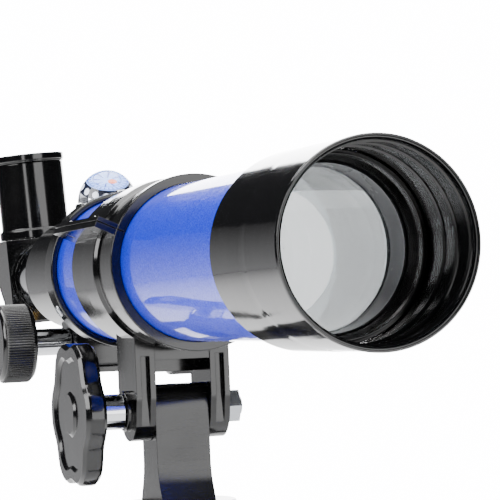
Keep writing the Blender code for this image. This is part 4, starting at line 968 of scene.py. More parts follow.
class FrontEnd(Assembly):
    """Dew shield, objective and main tube."""

    shield = ShieldSize()
    size = ObjectiveSize()

    def build(self) -> None:
        self._shield()
        self._objective()
        self._tube()

    def _shield(self) -> None:
        """Dew shield with a double front lip and moulded rings inside."""
        size = self.shield
        outer = [
            (size.outer - 0.25, 0.0), (size.outer, 0.4), (size.outer, 1.6), (size.outer - 0.25, 1.9),
            (size.outer - 0.25, 32.0), (size.outer - 0.10, 34.0), (size.outer - 0.32, 36.0),
            (size.outer - 0.12, 40.0), (size.outer - 0.05, 54.0), (size.outer, size.length - 0.6),
            (size.outer - 0.5, size.length),
        ]
        inner = [(size.inner + 0.2, size.length), (size.inner, size.length - 0.5)]
        for ridge in reversed(size.ridges):
            inner += [
                (size.inner, ridge + 0.7), (size.inner - size.ridge_rise, ridge + 0.35),
                (size.inner - size.ridge_rise, ridge - 0.35), (size.inner, ridge - 0.7),
            ]
        lip = [
            (size.inner, 1.4), (size.inner + 0.25, 0.6), (size.inner + 0.45, 0.3), (size.inner + 0.7, 0.9),
            (size.inner + 1.0, 0.9), (size.inner + 1.2, 0.1), (size.inner + 1.5, 0.0),
        ]
        shape = self.shape("dew_shield").turned(outer + inner + lip, LARGEST)
        shape.piece(
            "dew_shield", SHIELD_BLACK, "black_plastic", inside=(INNER_BLACK, within(size.inner + 0.9, 0.3))
        )

    def _objective(self) -> None:
        """Cell, retaining ring and the two lenses."""
        size = self.size
        sleeve = size.glass + size.gap
        cell = [
            (size.cell_outer, size.cell_front), (size.cell_outer, size.cell_rear),
            (size.tube + size.gap, size.cell_rear), (size.tube + size.gap, size.tube_front - size.gap),
            (sleeve, size.tube_front - size.gap),
            (sleeve, size.lip_at), (size.lip, size.lip_at), (size.lip, size.lip_at - 1.2),
            (size.lip + 0.9, 48.6),
            (size.lip + 0.9, 47.4), (size.cell_outer - size.mouth_wall, 42.5),
            (size.cell_outer - size.mouth_wall, size.cell_front),
        ]
        self.shape("objective_cell").turned(eased(cell, 0.35), LARGEST).piece(
            "optical_tube", INNER_BLACK, "black_plastic"
        )
        front = size.lip_at + size.gap
        rear = size.glass_front - size.gap
        clear = size.glass - size.rim
        retainer = [
            (size.glass, front), (size.glass, rear), (clear, rear), (clear, rear - 0.8),
            (clear + 0.25, rear - 1.1),
            (size.lip, front),
        ]
        self.shape("lens_retaining_ring").turned(eased(retainer, 0.2), LARGEST).piece(
            "optical_tube", RETAINER_GREY, "grey_plastic"
        )
        crown = lens_profile(size.glass, size.glass_front, size.crown_edge, size.sag, size.sag)
        self.shape("crown_lens").turned(crown, LARGE).piece("optical_tube", LENS_GLASS, "lens_glass")
        flint_at = size.glass_front + size.crown_edge + size.gap
        flint = lens_profile(size.glass, flint_at, size.flint_edge, -size.sag, 0.0)
        self.shape("flint_lens").turned(flint, LARGE).piece("optical_tube", LENS_GLASS, "lens_glass")

    def _tube(self) -> None:
        """Main tube, lacquered outside and painted black inside."""
        size = self.size
        bead = size.glass_front + size.crown_edge + size.flint_edge + 2 * size.gap
        profile = [
            (size.tube, size.tube_front), (size.tube, size.tube_rear), (size.bore, size.tube_rear),
            (size.bore, bead + size.bead_thickness + 1.0),
            (size.bore - size.bead, bead + size.bead_thickness),
            (size.bore - size.bead, bead), (size.bore, bead), (size.bore, size.tube_front),
        ]
        self.shape("main_tube").turned(profile, LARGEST).piece(
            "optical_tube", BLUE_LACQUER, "blue_paint",
            inside=(FLAT_BLACK, within((size.tube + size.bore) / 2)),
        )
        retint(["tube_baffle"], FLAT_BLACK)


# Thumbscrews: radius of their holes, and how near the axis their tips come, millimetres
SCREW_HOLE = 1.8
SCREW_TIP = 16.175


def cross_screw(shape: Shape, tip: float, shank: float, seat: float, head: float, rise: float) -> Shape:
    """A pan-head screw along local Z with a cross recess.

    Args:
        shape: the empty shape to fill.
        tip: height of the shank's end.
        shank: shank radius.
        seat: height of the head's underside.
        head: head radius.
        rise: head height.
    """
    edge = 0.35
    turns = [radians(turn) for turn in range(0, 91, 15)]
    dome = [(head * cos(turn), seat + rise * (edge + (1.0 - edge) * sin(turn))) for turn in turns]
    dome[-1] = (0.0, dome[-1][1])
    shape.turned([(0.0, tip), (shank, tip), (shank, seat), (head, seat), *dome], MEDIUM)
    top = seat + rise
    for turn in (0.0, 90.0):
        slot = Shape("slot", shape.place).block(
            (-head * 0.55, -head * 0.13, top - rise * 0.65), (head * 0.55, head * 0.13, top + 1.0),
            Matrix.Rotation(radians(turn), 4, "Z"),
        )
        shape.change(Boolean.CUT, slot)
    return shape


@dataclass(frozen=True)
class FocuserSize:
    """Focuser housing, its drive and the drawtube."""

    rim: float = 34.3
    seat: float = 31.8
    rim_front: float = 304.0
    rim_rear: float = 316.5
    shoulder: float = 30.0
    wall: float = 2.5
    cone: float = 14.0
    body: float = 26.0
    rear: float = 398.0
    bore: float = 18.3
    tube: float = 18.0
    tube_bore: float = 16.2
    tube_front: float = 322.0
    tube_rear: float = 441.0
    axle_at: float = 360.0
    axle_drop: float = 31.05
    axle: float = 4.0
    sleeve: float = 6.2
    knob_inner: float = 32.0
    knob: float = 18.0
    knob_width: float = 16.0
    block_half: float = 13.5
    block_length: float = 28.0
    block_top: float = 22.0
    block_bottom: float = 43.05
    channel_half: float = 7.3
    channel_front: float = 315.2
    room: float = 8.1
    room_half: float = 5.8
    slot_front: float = 312.7
    slot_top: float = 9.0
    slot_half: float = 5.1
    slot_bottom: float = 26.55
    screw_angle: float = 29.5


class Focuser(Assembly):
    """Rack-and-pinion focuser on the rear of the tube."""

    size = FocuserSize()

    def build(self) -> None:
        self._housing()
        self._screws()
        self._drive()
        self._drawtube()
        retint(["focus_pinion", "focus_rack"], BRASS)
        retint(["pinion_cover"], GLOSS_BLACK)

    def _housing(self) -> None:
        """Turned housing with its gear block underneath, opened for the rack, the pinion and the axle."""
        size = self.size
        cone_rear = size.rim_rear + size.cone
        profile = [
            (size.rim, size.rim_front), (size.rim, size.rim_rear), (size.shoulder, size.rim_rear + 0.2),
            (size.shoulder - 0.4, size.rim_rear + 1.5), (size.body, cone_rear), (size.body, size.rear - 6.0),
            (size.body - 3.0, size.rear - 5.0), (size.body - 3.0, size.rear), (size.bore, size.rear),
            (size.bore, cone_rear + 3.0), (size.body - size.wall, cone_rear),
            (size.shoulder - size.wall, size.rim_rear), (size.shoulder - size.wall, size.rim_rear - 2.5),
            (size.seat, size.rim_rear - 2.5), (size.seat, size.rim_front),
        ]
        shape = self.shape("focuser_housing").turned(eased(profile, 0.7), LARGE)
        front = size.axle_at - size.block_length / 2
        rear = size.axle_at + size.block_length / 2
        outline = [
            (size.block_top, front), (size.block_bottom, front), (size.block_bottom, rear),
            (size.block_top, rear),
        ]
        shape.change(
            Boolean.JOIN,
            self.shape("block").prism(eased(outline, 1.5), -size.block_half, size.block_half, "x"),
            self.shape("channel").block(
                (-size.channel_half, size.block_top, size.channel_front),
                (size.channel_half, size.slot_bottom + 2.2, size.rear - 7.0),
            ),
        )
        bearing = size.axle + CLEAR
        notch = [(size.axle_drop, size.axle_at - bearing)]
        for turn in [radians(degrees) for degrees in range(15, 180, 15)]:
            notch.append((size.axle_drop - bearing * sin(turn), size.axle_at - bearing * cos(turn)))
        notch += [
            (size.axle_drop, size.axle_at + bearing), (size.block_bottom + 2.0, size.axle_at + bearing),
            (size.block_bottom + 2.0, size.axle_at - bearing),
        ]
        axle = shift(0.0, size.axle_drop, size.axle_at) @ Facing.FAR.value
        shape.change(
            Boolean.CUT,
            self.shape("slot").block(
                (-size.slot_half, size.slot_top, size.slot_front),
                (size.slot_half, size.slot_bottom, size.rear + 2)
            ),
            self.shape("room").rod(size.room, -size.room_half, size.room_half, axle),
            self.shape("notch").prism(notch, -size.block_half - 2.0, size.block_half + 2.0, "x"),
        )
        shape.piece("optical_tube", GLOSS_BLACK, "black_plastic", crease=30.0)

    def _screws(self) -> None:
        """Three screws that hold the tube."""
        size = self.size
        middle = (size.rim_front + ObjectiveSize.tube_rear) / 2
        for number in range(3):
            around = Matrix.Rotation(radians(180.0 - size.screw_angle + 120.0 * number), 4, "Z")
            at = shift(0.0, 0.0, middle) @ around @ Facing.FAR.value
            shape = self.shape(f"housing_screw_{number + 1}", at)
            cross_screw(shape, ObjectiveSize.bore, 1.5, size.rim + CLEAR, 2.7, 1.2).piece(
                "optical_tube", ZINC, "steel_screws"
            )

    def _drive(self) -> None:
        """Axle and two knurled knobs."""
        size = self.size
        at = shift(0.0, size.axle_drop, size.axle_at) @ Facing.FAR.value
        shoulder = size.block_half + CLEAR
        end = size.knob_inner + size.knob_width - 3.6
        half = eased([
            (size.axle, 0.0), (size.axle, shoulder), (size.sleeve, shoulder),
            (size.sleeve, size.knob_inner - CLEAR),
            (size.axle, size.knob_inner - CLEAR), (size.axle, end), (0.0, end),
        ], 0.4, closed=False)
        mirrored = [(radius, -height) for radius, height in reversed(half[1:])]
        self.shape("focus_shaft", at).turned(mirrored + half[1:], MEDIUM).piece(
            "focus_drive", CHROME, "chrome_trim"
        )
        for name, side in (("focus_knob_right", 1.0), ("focus_knob_left", -1.0)):
            turn = Matrix.Identity(4) if side > 0 else Matrix.Rotation(pi, 4, "X")
            knob_at = at @ shift(0.0, 0.0, side * size.knob_inner) @ turn
            self._knob(name, knob_at)

    def _knob(self, name: str, at: Matrix) -> None:
        """One knob: a knurled grip round a smooth body with a dished face."""
        size = self.size
        width = size.knob_width
        body = [
            (0.0, width - 3.0), (size.axle + CLEAR, width - 3.0), (size.axle + CLEAR, 0.0),
            (size.knob - 2.2, 0.0),
            (size.knob - 0.9, 1.2), (size.knob - 0.9, width - 1.2), (size.knob - 2.2, width),
            (size.knob - 4.5, width), (size.knob - 6.0, width - 0.8), (0.0, width - 0.8),
        ]
        grip = [
            (size.knob - 1.3, 1.5), (size.knob - 0.3, 1.8), (size.knob, 2.6), (size.knob, width - 2.6),
            (size.knob - 0.3, width - 1.8), (size.knob - 1.3, width - 1.5),
        ]
        shape = self.shape(name, at).turned(eased(body, 0.6, closed=False), FINE)
        shape.turned(grip, KNURLED, wave=ridged(96, 0.022))
        shape.piece("focus_drive", GLOSS_BLACK, "black_plastic", crease=60.0)

    def _drawtube(self) -> None:
        """Chromed drawtube with the hole for its screw, and the screw."""
        size = self.size
        profile = [
            (size.tube, size.tube_front), (size.tube, size.tube_rear), (size.tube_bore, size.tube_rear),
            (size.tube_bore, size.tube_front),
        ]
        screw_at = shift(0.0, 0.0, size.tube_rear - 8.0) @ Facing.FAR.value
        hole = self.shape("hole").rod(SCREW_HOLE, 14.0, 20.0, screw_at)
        shape = self.shape("drawtube").turned(eased(profile, 0.3), LARGE).change(Boolean.CUT, hole)
        shape.piece("drawtube", CHROME, "chrome_trim", inside=(FLAT_BLACK, within(17.0)))
        thumb_screw(self.shape("drawtube_thumbscrew", screw_at), SCREW_TIP, size.tube).piece(
            "drawtube_thumbscrew", CHROME, "chrome_trim", crease=50.0
        )


def thumb_screw(shape: Shape, tip: float, seat: float) -> Shape:
    """A small knurled thumbscrew along local Z, its shank from tip past seat."""
    grip = seat + 2.5
    body = [
        (0.0, tip), (1.5, tip), (1.5, grip - 0.2), (3.4, grip - 0.2), (3.4, grip + 7.0), (0.0, grip + 7.0),
    ]
    shape.turned(eased(body, 0.3, closed=False), COARSE)
    head = [
        (3.0, grip), (4.2, grip), (4.5, grip + 0.5), (4.5, grip + 6.3), (4.1, grip + 6.9), (3.0, grip + 6.9),
    ]
    return shape.turned(head, LOBED, wave=ridged(40, 0.05))


@dataclass(frozen=True)
class DiagonalSize:
    """Eyepiece holder and eyepiece."""

    at: float = 470.0
    lean: float = 3.8
    foot: float = 20.8
    foot_radius: float = 18.3
    foot_height: float = 4.2
    radius: float = 17.0
    barrel: float = 15.875
    barrel_bore: float = 13.0
    top: float = 58.8
    flange: float = 17.8
    flange_height: float = 4.2
    depth: float = 25.0
    eye: float = 7.8


class Diagonal(Assembly):
    """Star diagonal, eyepiece holder and eyepiece."""

    size = DiagonalSize()

    def build(self) -> None:
        size = self.size
        lean = Matrix.Rotation(radians(-size.lean), 4, "Z")
        seat = lean @ shift(0.0, 0.0, size.at) @ Facing.UP.value
        screw = lean @ shift(0.0, 10.0 - size.top, size.at)
        bore = size.barrel + CLEAR
        holder = [
            (size.foot_radius, size.foot), (size.foot_radius, size.foot + size.foot_height),
            (size.radius, size.foot + size.foot_height + 0.6), (size.radius, size.top), (bore, size.top),
            (bore, size.foot),
        ]
        across = seat.inverted() @ screw
        hole = self.shape("hole", seat).rod(SCREW_HOLE, 13.0, 19.0, across)
        shape = self.shape("eyepiece_holder", seat).turned(eased(holder, 0.5), FINE).change(Boolean.CUT, hole)
        shape.piece("diagonal", GLOSS_BLACK, "black_plastic", crease=30.0)
        thumb_screw(self.shape("eyepiece_thumbscrew", screw), SCREW_TIP, size.radius).piece(
            "eyepiece_thumbscrew", CHROME, "chrome_trim", crease=50.0
        )
        flange = size.top + CLEAR
        top = flange + size.flange_height
        lip = top - 2.5
        foot = size.top - size.depth
        barrel = [
            (size.barrel, foot), (size.barrel, flange), (size.flange - 0.4, flange),
            (size.flange - 0.4, flange + 0.9),
            (size.flange, flange + 1.1), (size.flange, top), (size.eye + 3.2, top), (size.eye - 1.2, lip),
            (size.eye - 1.2, lip - 1.0), (size.eye + CLEAR, lip - 1.0), (size.eye + CLEAR, lip - 7.0),
            (size.barrel_bore, lip - 10.0), (size.barrel_bore, foot),
        ]
        self.shape("eyepiece_barrel", seat).turned(eased(barrel, 0.4), FINE).piece(
            "eyepiece", GLOSS_BLACK, "black_plastic", crease=30.0
        )
        eye = lens_profile(size.eye, lip - 6.2, 3.0, 0.0, 1.2)
        self.shape("eye_lens", seat).turned(eye, MEDIUM).piece("eyepiece", LENS_GLASS, "lens_glass")
        field_lens = lens_profile(size.barrel_bore - CLEAR, foot + 4.0, 2.0, 1.5, 0.0)
        self.shape("field_lens", seat).turned(field_lens, MEDIUM).piece("eyepiece", LENS_GLASS, "lens_glass")
        retint(["diagonal_housing", "diagonal_cover"], GLOSS_BLACK)
        retint(["diagonal_mirror"], MIRROR)


@dataclass(frozen=True)
class CompassSize:
    """Dome compass. The saddle is the housing's outline, a gap larger."""

    saddle: tuple[Point, ...] = (
        (0.0, 304.0), (34.6, 304.0), (34.6, 316.8), (30.3, 316.8), (26.3, 330.8), (26.3, 362.0), (0.0, 362.0),
    )
    at: float = 332.0
    foot: float = 21.0
    base: float = 14.8
    base_top: float = 31.0
    dome: float = 13.5
    dome_wall: float = 1.2
    dome_height: float = 14.8
    card: float = 7.2
    skirt: float = 9.0
    skirt_height: float = 4.2
    tilt: float = 24.0
    card_height: float = 7.6


class Compass(Assembly):
    """Dome compass saddled on the focuser housing."""

    size = CompassSize()

    def build(self) -> None:
        size = self.size
        at = shift(0.0, 0.0, size.at) @ Facing.UP.value
        well = size.dome - size.dome_wall - 0.5
        pin = size.base_top + size.card_height - 2.0
        base = [
            (0.0, size.foot), (size.base - 1.5, size.foot), (size.base, size.base_top - 1.4),
            (size.base - 0.4, size.base_top), (well, size.base_top), (well, size.base_top - 2.2),
            (1.2, size.base_top - 2.2), (0.8, pin), (0.0, pin),
        ]
        shape = self.shape("compass_base", at).turned(eased(base, 0.5, closed=False), FINE)
        shape.change(Boolean.CUT, self.shape("saddle", at).turned(size.saddle, LARGE, at.inverted()))
        shape.piece("optical_tube", GLOSS_BLACK, "black_plastic", crease=30.0)
        rise = size.base_top + CLEAR
        turns = [radians(turn) for turn in range(90, -1, -5)]
        dome = [(size.dome * cos(turn), rise + size.dome_height * sin(turn)) for turn in turns]
        dome.append((0.0, rise))
        self.shape("compass_dome", at).turned(dome, FINE).piece("optical_tube", ACRYLIC, "compass_dome")
        tilted = Matrix.Rotation(radians(90.0 + size.tilt), 4, "X")
        card_at = shift(0.0, -(size.base_top + size.card_height), size.at) @ tilted
        card = [
            (0.0, 0.0), (size.card, 0.0), (size.skirt, -size.skirt_height),
            (size.skirt - 1.2, -size.skirt_height),
            (size.card - 1.0, -1.2), (0.0, -1.2),
        ]
        self.shape("compass_card", card_at).turned(card, MEDIUM).piece("compass_card", CARD, "compass_card")


@dataclass(frozen=True)
class ClampSize:
    """Ring clamp, fork and altitude bolt."""

    front: float = 198.0
    length: float = 70.0
    bore: float = 31.8
    root: float = 1.1
    band: float = 34.0
    lip: float = 35.5
    lip_length: float = 4.5
    rib: float = 27.0
    rib_length: float = 20.0
    slope: float = 23.7
    gap: float = 0.4
    ear: float = 44.2
    lower_ear: float = 2.4
    upper_ear: float = 1.8
    knuckle: float = 3.0
    pin: float = 1.3
    screw_hole: float = 1.9
    past: float = 120.0
    share: float = 0.3
    centre: float = 238.0
    depth: float = 28.0
    arm_outer: float = 20.0
    arm_inner: float = 11.7
    groove: float = 3.6
    groove_depth: float = 3.0
    web: float = 38.8
    bolt_drop: float = 59.5
    arm_end: float = 12.5
    boss: float = 8.3
    boss_height: float = 2.5
    bolt: float = 4.0
    hub: float = 7.3
    knob_inner: float = 36.7
    knob_thickness: float = 8.6
    knob: float = 31.0
    lobes: int = 6
    knob_dip: float = 3.5
    nut_height: float = 6.5


class Clamp(Assembly):
    """Ring clamp round the tube, with its fork, screws and altitude knob."""

    size = ClampSize()

    def build(self) -> None:
        cradle = self._half("tube_cradle", lower=True)
        self._fork(cradle)
        self._bore(cradle)
        cradle.piece("cradle", GLOSS_BLACK, "mount_plastic", crease=30.0)
        cap = self._half("cradle_cap", lower=False)
        self._bore(cap)
        cap.piece("cradle_cap", GLOSS_BLACK, "mount_plastic", crease=30.0)
        self._hardware()
        self._knob()

    def _out(self, out: float, off: float) -> Point:
        """A point in x and down: out along the split on the near side, off it towards the upper half."""
        slope = radians(self.size.slope)
        return (-cos(slope) * out + sin(slope) * off, -sin(slope) * out - cos(slope) * off)

    def _half(self, name: str, lower: bool) -> Shape:
        """One half of the ring with its ear and hinge knuckles."""
        size = self.size
        rear = size.front + size.length
        rib = size.front + size.rib
        ring = [
            (size.lip, size.front), (size.lip, size.front + size.lip_length),
            (size.band, size.front + size.lip_length + 0.3), (size.band, rib - 0.6), (size.lip, rib + 1.2),
            (size.lip, rib + size.rib_length - 1.2), (size.band, rib + size.rib_length + 0.6),
            (size.band, rear),
            (size.bore - 0.9, rear), (size.bore - 0.9, size.front),
        ]
        shape = self.shape(name).turned(eased(ring, 0.5), LARGE)
        half_gap = size.gap / 2
        low = -size.lower_ear - (half_gap if lower else 0.0)
        high = size.upper_ear + (0.0 if lower else half_gap)
        inside = size.bore + size.root
        hinge = -(size.ear - size.knuckle)
        first = size.front + size.length * size.share
        last = rear - size.length * size.share
        outer_spans = [(size.front + 0.2, first - 0.15), (last + 0.15, rear - 0.2)]
        spans = outer_spans if lower else [(first + 0.15, last - 0.15)]

        def plate(reach: float, start: float, stop: float) -> Shape:
            root = inside if reach > 0 else -inside
            sides = ((root, low), (reach, low), (reach, high), (root, high))
            corners = [self._out(out, off) for out, off in sides]
            return self.shape("plate").prism(corners, start, stop)

        shape.change(Boolean.JOIN, plate(size.ear, size.front + 0.2, rear - 0.2))
        for start, stop in spans:
            shape.change(Boolean.JOIN, plate(hinge, start + 0.2, stop - 0.2))
        slope = radians(size.slope)
        along = Vector((-cos(slope), -sin(slope)))
        away = Vector((sin(slope), -cos(slope))) * (1.0 if lower else -1.0)
        start_at = -away * half_gap
        one, two = start_at + along * size.past, start_at - along * size.past
        beyond = away * 2 * size.past
        wedge = [tuple(corner) for corner in (one, two, two + beyond, one + beyond)]
        shape.change(Boolean.CUT, self.shape("wedge").prism(wedge, 0.0, 500.0))
        at = shift(*self._out(hinge, 0.0), 0.0)
        for start, stop in spans:
            shape.change(Boolean.JOIN, self.shape("barrel").rod(size.knuckle, start, stop, at))
        rooms = [(first - 0.075, last + 0.075)] if lower else [
            (size.front - 2.2, first + 0.075), (last - 0.075, rear + 2.2),
        ]
        for start, stop in rooms:
            shape.change(Boolean.CUT, self.shape("room").rod(size.knuckle + 0.6, start, stop, at))
        pin = self.shape("pin").rod(size.pin + CLEAR, size.front - 2.0, rear + 2.0, at)
        shape.change(Boolean.CUT, pin)
        for screw in self._screw_places():
            shape.change(Boolean.CUT, self.shape("drill").rod(size.screw_hole, -8.0, 8.0, screw))
        return shape

    def _screw_places(self) -> list[Matrix]:
        """Where the two clamp screws stand, local Z out of the upper ear."""
        size = self.size
        places = []
        for share in (0.22, 0.78):
            x, down = self._out(size.ear - 4.5, 0.0)
            turn = Matrix.Rotation(radians(size.slope), 4, "Z") @ Matrix.Rotation(radians(90.0), 4, "X")
            places.append(shift(x, down, size.front + size.length * share) @ turn)
        return places

    def _fork(self, cradle: Shape) -> None:
        """Joins the grooved arms, the webs and the bolt boss to the lower ring."""
        size = self.size
        front = size.centre - size.depth / 2
        rear = size.centre + size.depth / 2
        inside = size.bore + size.root
        top = sqrt(inside**2 - size.arm_outer**2)
        for side in (-1.0, 1.0):
            low, high = sorted((side * size.arm_inner, side * size.arm_outer))
            outline = [(top, front), (size.bolt_drop - 6.0, front)]
            end = arc(size.arm_end, 180.0, 0.0, 24, (size.centre, 0.0))
            outline += [(size.bolt_drop + down, back) for back, down in end]
            outline += [(size.bolt_drop - 6.0, rear), (top, rear)]
            cradle.change(Boolean.JOIN, self.shape("arm").prism(outline, low, high, "x"))
            middle = side * (size.arm_inner + size.arm_outer) / 2
            ends = ((front - 2.0, front + size.groove_depth), (rear - size.groove_depth, rear + 2.0))
            for start, stop in ends:
                groove = self.shape("groove").block(
                    (middle - size.groove / 2, size.lip + 1.5, start),
                    (middle + size.groove / 2, size.bolt_drop + size.arm_end, stop),
                )
                cradle.change(Boolean.CUT, groove)
        reach = (size.arm_inner + size.arm_outer) / 2
        boss_end = size.arm_outer + size.boss_height
        boss_start = size.arm_outer - 1.0
        boss = [(0.0, boss_start), (size.boss, boss_start), (size.boss, boss_end), (0.0, boss_end)]
        cradle.change(
            Boolean.JOIN,
            self.shape("web").block(
                (-size.arm_inner - 1.0, inside, front + 0.5), (size.arm_inner + 1.0, size.web, rear - 0.5)
            ),
            self.shape("rear_web").block(
                (-reach, size.web - 1.0, rear - size.groove_depth - 3.0), (reach, size.web + 5.5, rear - 3.3)
            ),
            self.shape("boss").turned(
                eased(boss, 0.6, closed=False), MEDIUM,
                shift(0.0, size.bolt_drop, size.centre) @ Facing.NEAR.value,
            ),
        )
        at = shift(0.0, size.bolt_drop, size.centre) @ Facing.FAR.value
        cradle.change(Boolean.CUT, self.shape("bolt").rod(size.bolt + CLEAR, -40.0, 40.0, at))

    def _bore(self, half: Shape) -> None:
        """Opens a half ring to the tube's size."""
        size = self.size
        rear = size.front + size.length
        bore = self.shape("bore").rod(size.bore, size.front - 3.0, rear + 3.0, sides=LARGE)
        half.change(Boolean.CUT, bore)

    def _hardware(self) -> None:
        """Clamp screws and the hinge pin."""
        size = self.size
        for number, at in enumerate(self._screw_places()):
            shape = self.shape(f"clamp_screw_{number + 1}", at)
            cross_screw(shape, -size.lower_ear, 1.6, size.upper_ear + 0.5, 3.0, 1.6).piece(
                f"clamp_screw_{number + 1}", ZINC, "steel_screws"
            )
        retint(["clamp_hinge_pin"], ZINC)

    def _knob(self) -> None:
        """Lobed altitude knob with its chromed hub, bolt and nut."""
        size = self.size
        at = shift(0.0, size.bolt_drop, size.centre) @ Facing.NEAR.value
        end = size.knob_inner + size.knob_thickness

        def lobes(turn: float) -> float:
            wave = (1.0 + cos(size.lobes * turn)) / 2
            return 1.0 - size.knob_dip / size.knob * (1.0 - wave) ** 1.5

        face = [
            (0.0, end - 2.4), (size.bolt + CLEAR, end - 2.4), (size.bolt + CLEAR, size.knob_inner),
            (size.knob - 1.6, size.knob_inner), (size.knob - 0.2, size.knob_inner + 1.4),
            (size.knob, size.knob_inner + 2.4), (size.knob, end - 2.4), (size.knob - 0.2, end - 1.4),
            (size.knob - 1.6, end), (size.knob - 6.0, end),
            (size.knob - 7.5, end - 1.0), (size.hub + 2.0, end - 1.0), (size.hub + 0.8, end), (0.0, end),
        ]
        self.shape("altitude_knob", at).turned(face, LOBED, wave=lobes, still=size.hub + 3.0).piece(
            "altitude_knob", GLOSS_BLACK, "mount_plastic", crease=28.0
        )
        hub_start = size.arm_outer + size.boss_height + CLEAR
        hub_end = size.knob_inner - CLEAR
        hub = [
            (size.hub, hub_start), (size.hub, hub_end), (size.bolt + CLEAR, hub_end),
            (size.bolt + CLEAR, hub_start),
        ]
        self.shape("altitude_hub", at).turned(eased(hub, 0.5), FINE).piece(
            "altitude_knob", CHROME, "chrome_trim"
        )
        bolt_end = size.arm_outer + CLEAR + size.nut_height + 1.5
        bolt = [(0.0, -bolt_end), (size.bolt, -bolt_end), (size.bolt, end - 3.0), (0.0, end - 3.0)]
        self.shape("altitude_bolt", at).turned(eased(bolt, 0.5, closed=False), MEDIUM).piece(
            "altitude_knob", ZINC, "chrome_trim"
        )
        retint(["altitude_nut"], ZINC)


@dataclass(frozen=True)
class StandSize:
    """Mount head and tripod hub, up from the floor along the pan axis."""

    tongue: float = 10.5
    tongue_length: float = 26.0
    flare: float = 6.0
    shoulder: float = 12.0
    base: float = 24.0
    base_height: float = 8.0
    spigot: float = 9.0
    spigot_length: float = 18.0
    hub_core: float = 22.0
    hub_top: float = 26.0
    hub_top_height: float = 4.0
    above_hinge: float = 14.0
    below_hinge: float = 13.0
    hinge_out: float = 32.0
    lug: float = 4.0
    lug_radius: float = 8.0
    lug_inside: float = 6.5
    tongue_half: float = 11.4
    bolt_hole: float = 4.3
    pin_hole: float = 2.3
    lock_hole: float = 2.8
    lock_sides: int = 180


class Stand(Assembly):
    """Mount head and tripod hub. Local Z is up from the floor, through the pan axis."""

    size = StandSize()

    def build(self) -> None:
        hinge = centre_of("leg_pin_1").z / MM
        bolt = centre_of("altitude_nut").z / MM
        self._head(hinge, bolt)
        self._hub(hinge)

    def _head(self, hinge: float, bolt: float) -> None:
        """Tongue on a round base with a spigot into the hub."""
        size = self.size
        bottom = hinge + size.above_hinge + 0.3
        floor = bottom + size.base_height
        shoulder = bolt - size.tongue_length
        outline = arc(size.tongue, 0.0, 180.0, 32, (0.0, bolt))
        root = size.tongue + size.flare
        left = [
            (-size.tongue, bolt), (-size.tongue, shoulder), (-root, floor - 1.0), (-root, floor - 2.0),
        ]
        right = [(-across, height) for across, height in reversed(left)]
        outline += eased(left, 5.0, closed=False)[1:]
        outline += eased(right, 5.0, closed=False)[:-1]
        shape = self.shape("mount_head").prism(outline, -size.tongue_half, size.tongue_half, "x")
        base = [
            (0.0, bottom - size.spigot_length), (size.spigot, bottom - size.spigot_length),
            (size.spigot, bottom),
            (size.base, bottom), (size.base, floor), (0.0, floor),
        ]
        shape.change(Boolean.JOIN, self.shape("base").turned(eased(base, 1.0, closed=False), FINE))
        hole = self.shape("hole").rod(size.bolt_hole, -16.0, 16.0, shift(0.0, 0.0, bolt) @ Facing.FAR.value)
        shape.change(Boolean.CUT, hole).piece("mount_head", SATIN_BLACK, "mount_plastic", crease=30.0)

    def _hub(self, hinge: float) -> None:
        """Hub with a pair of lugs for each leg and the pan lock."""
        size = self.size
        top = hinge + size.above_hinge
        bottom = hinge - size.below_hinge
        core = [
            (0.0, bottom), (size.hub_core, bottom), (size.hub_core, top - size.hub_top_height - 2.0),
            (size.hub_top, top - size.hub_top_height), (size.hub_top, top), (size.spigot + 0.3, top),
            (size.spigot + 0.3, top - size.spigot_length - 1.0), (0.0, top - size.spigot_length - 1.0),
        ]
        shape = self.shape("tripod_hub").turned(eased(core, 0.9, closed=False), FINE)
        for number in range(3):
            turn = shift(0.0, 0.0, hinge) @ Matrix.Rotation(radians(120.0 * number - 90.0), 4, "Z")
            root = size.hub_core - 4.0
            nose = arc(size.lug_radius, -90.0, 90.0, 24, (size.hinge_out, 0.0))
            outline = [(root, -size.lug_radius), *nose, (root, size.lug_radius)]
            for side in (-1.0, 1.0):
                low, high = sorted((side * size.lug_inside, side * (size.lug_inside + size.lug)))
                shape.change(Boolean.JOIN, self.shape("lug").prism(outline, low, high, "y", turn))
            across = turn @ shift(size.hinge_out, 0.0, 0.0) @ Matrix.Rotation(radians(90.0), 4, "X")
            shape.change(Boolean.CUT, self.shape("pin_hole").rod(size.pin_hole, -13.0, 13.0, across))
        lock = top - size.spigot_length / 2
        rearward = shift(0.0, 0.0, lock) @ Matrix.Rotation(radians(-90.0), 4, "X")
        shape.change(Boolean.CUT, self.shape("lock_hole").rod(size.lock_hole, 7.0, 28.0, rearward))
        shape.piece("tripod_hub", SATIN_BLACK, "mount_plastic", crease=30.0)
        knob = self.shape("pan_lock_knob", rearward)
        stem = [(0.0, 9.3), (2.5, 9.3), (2.5, 30.0), (4.5, 30.0), (5.0, 31.0), (5.0, 40.0), (0.0, 40.0)]
        knob.turned(eased(stem, 0.4, closed=False), COARSE)
        grip = [(4.0, 30.2), (8.2, 30.2), (9.0, 31.2), (9.0, 39.8), (8.0, 41.0), (4.0, 41.0)]
        knob.turned(eased(grip, 0.6), size.lock_sides, wave=ridged(12, 0.10, 1.5))
        knob.piece("pan_lock_knob", SATIN_BLACK, "mount_plastic", crease=40.0)
        retint([f"leg_pin_{number}" for number in (1, 2, 3)], ZINC)


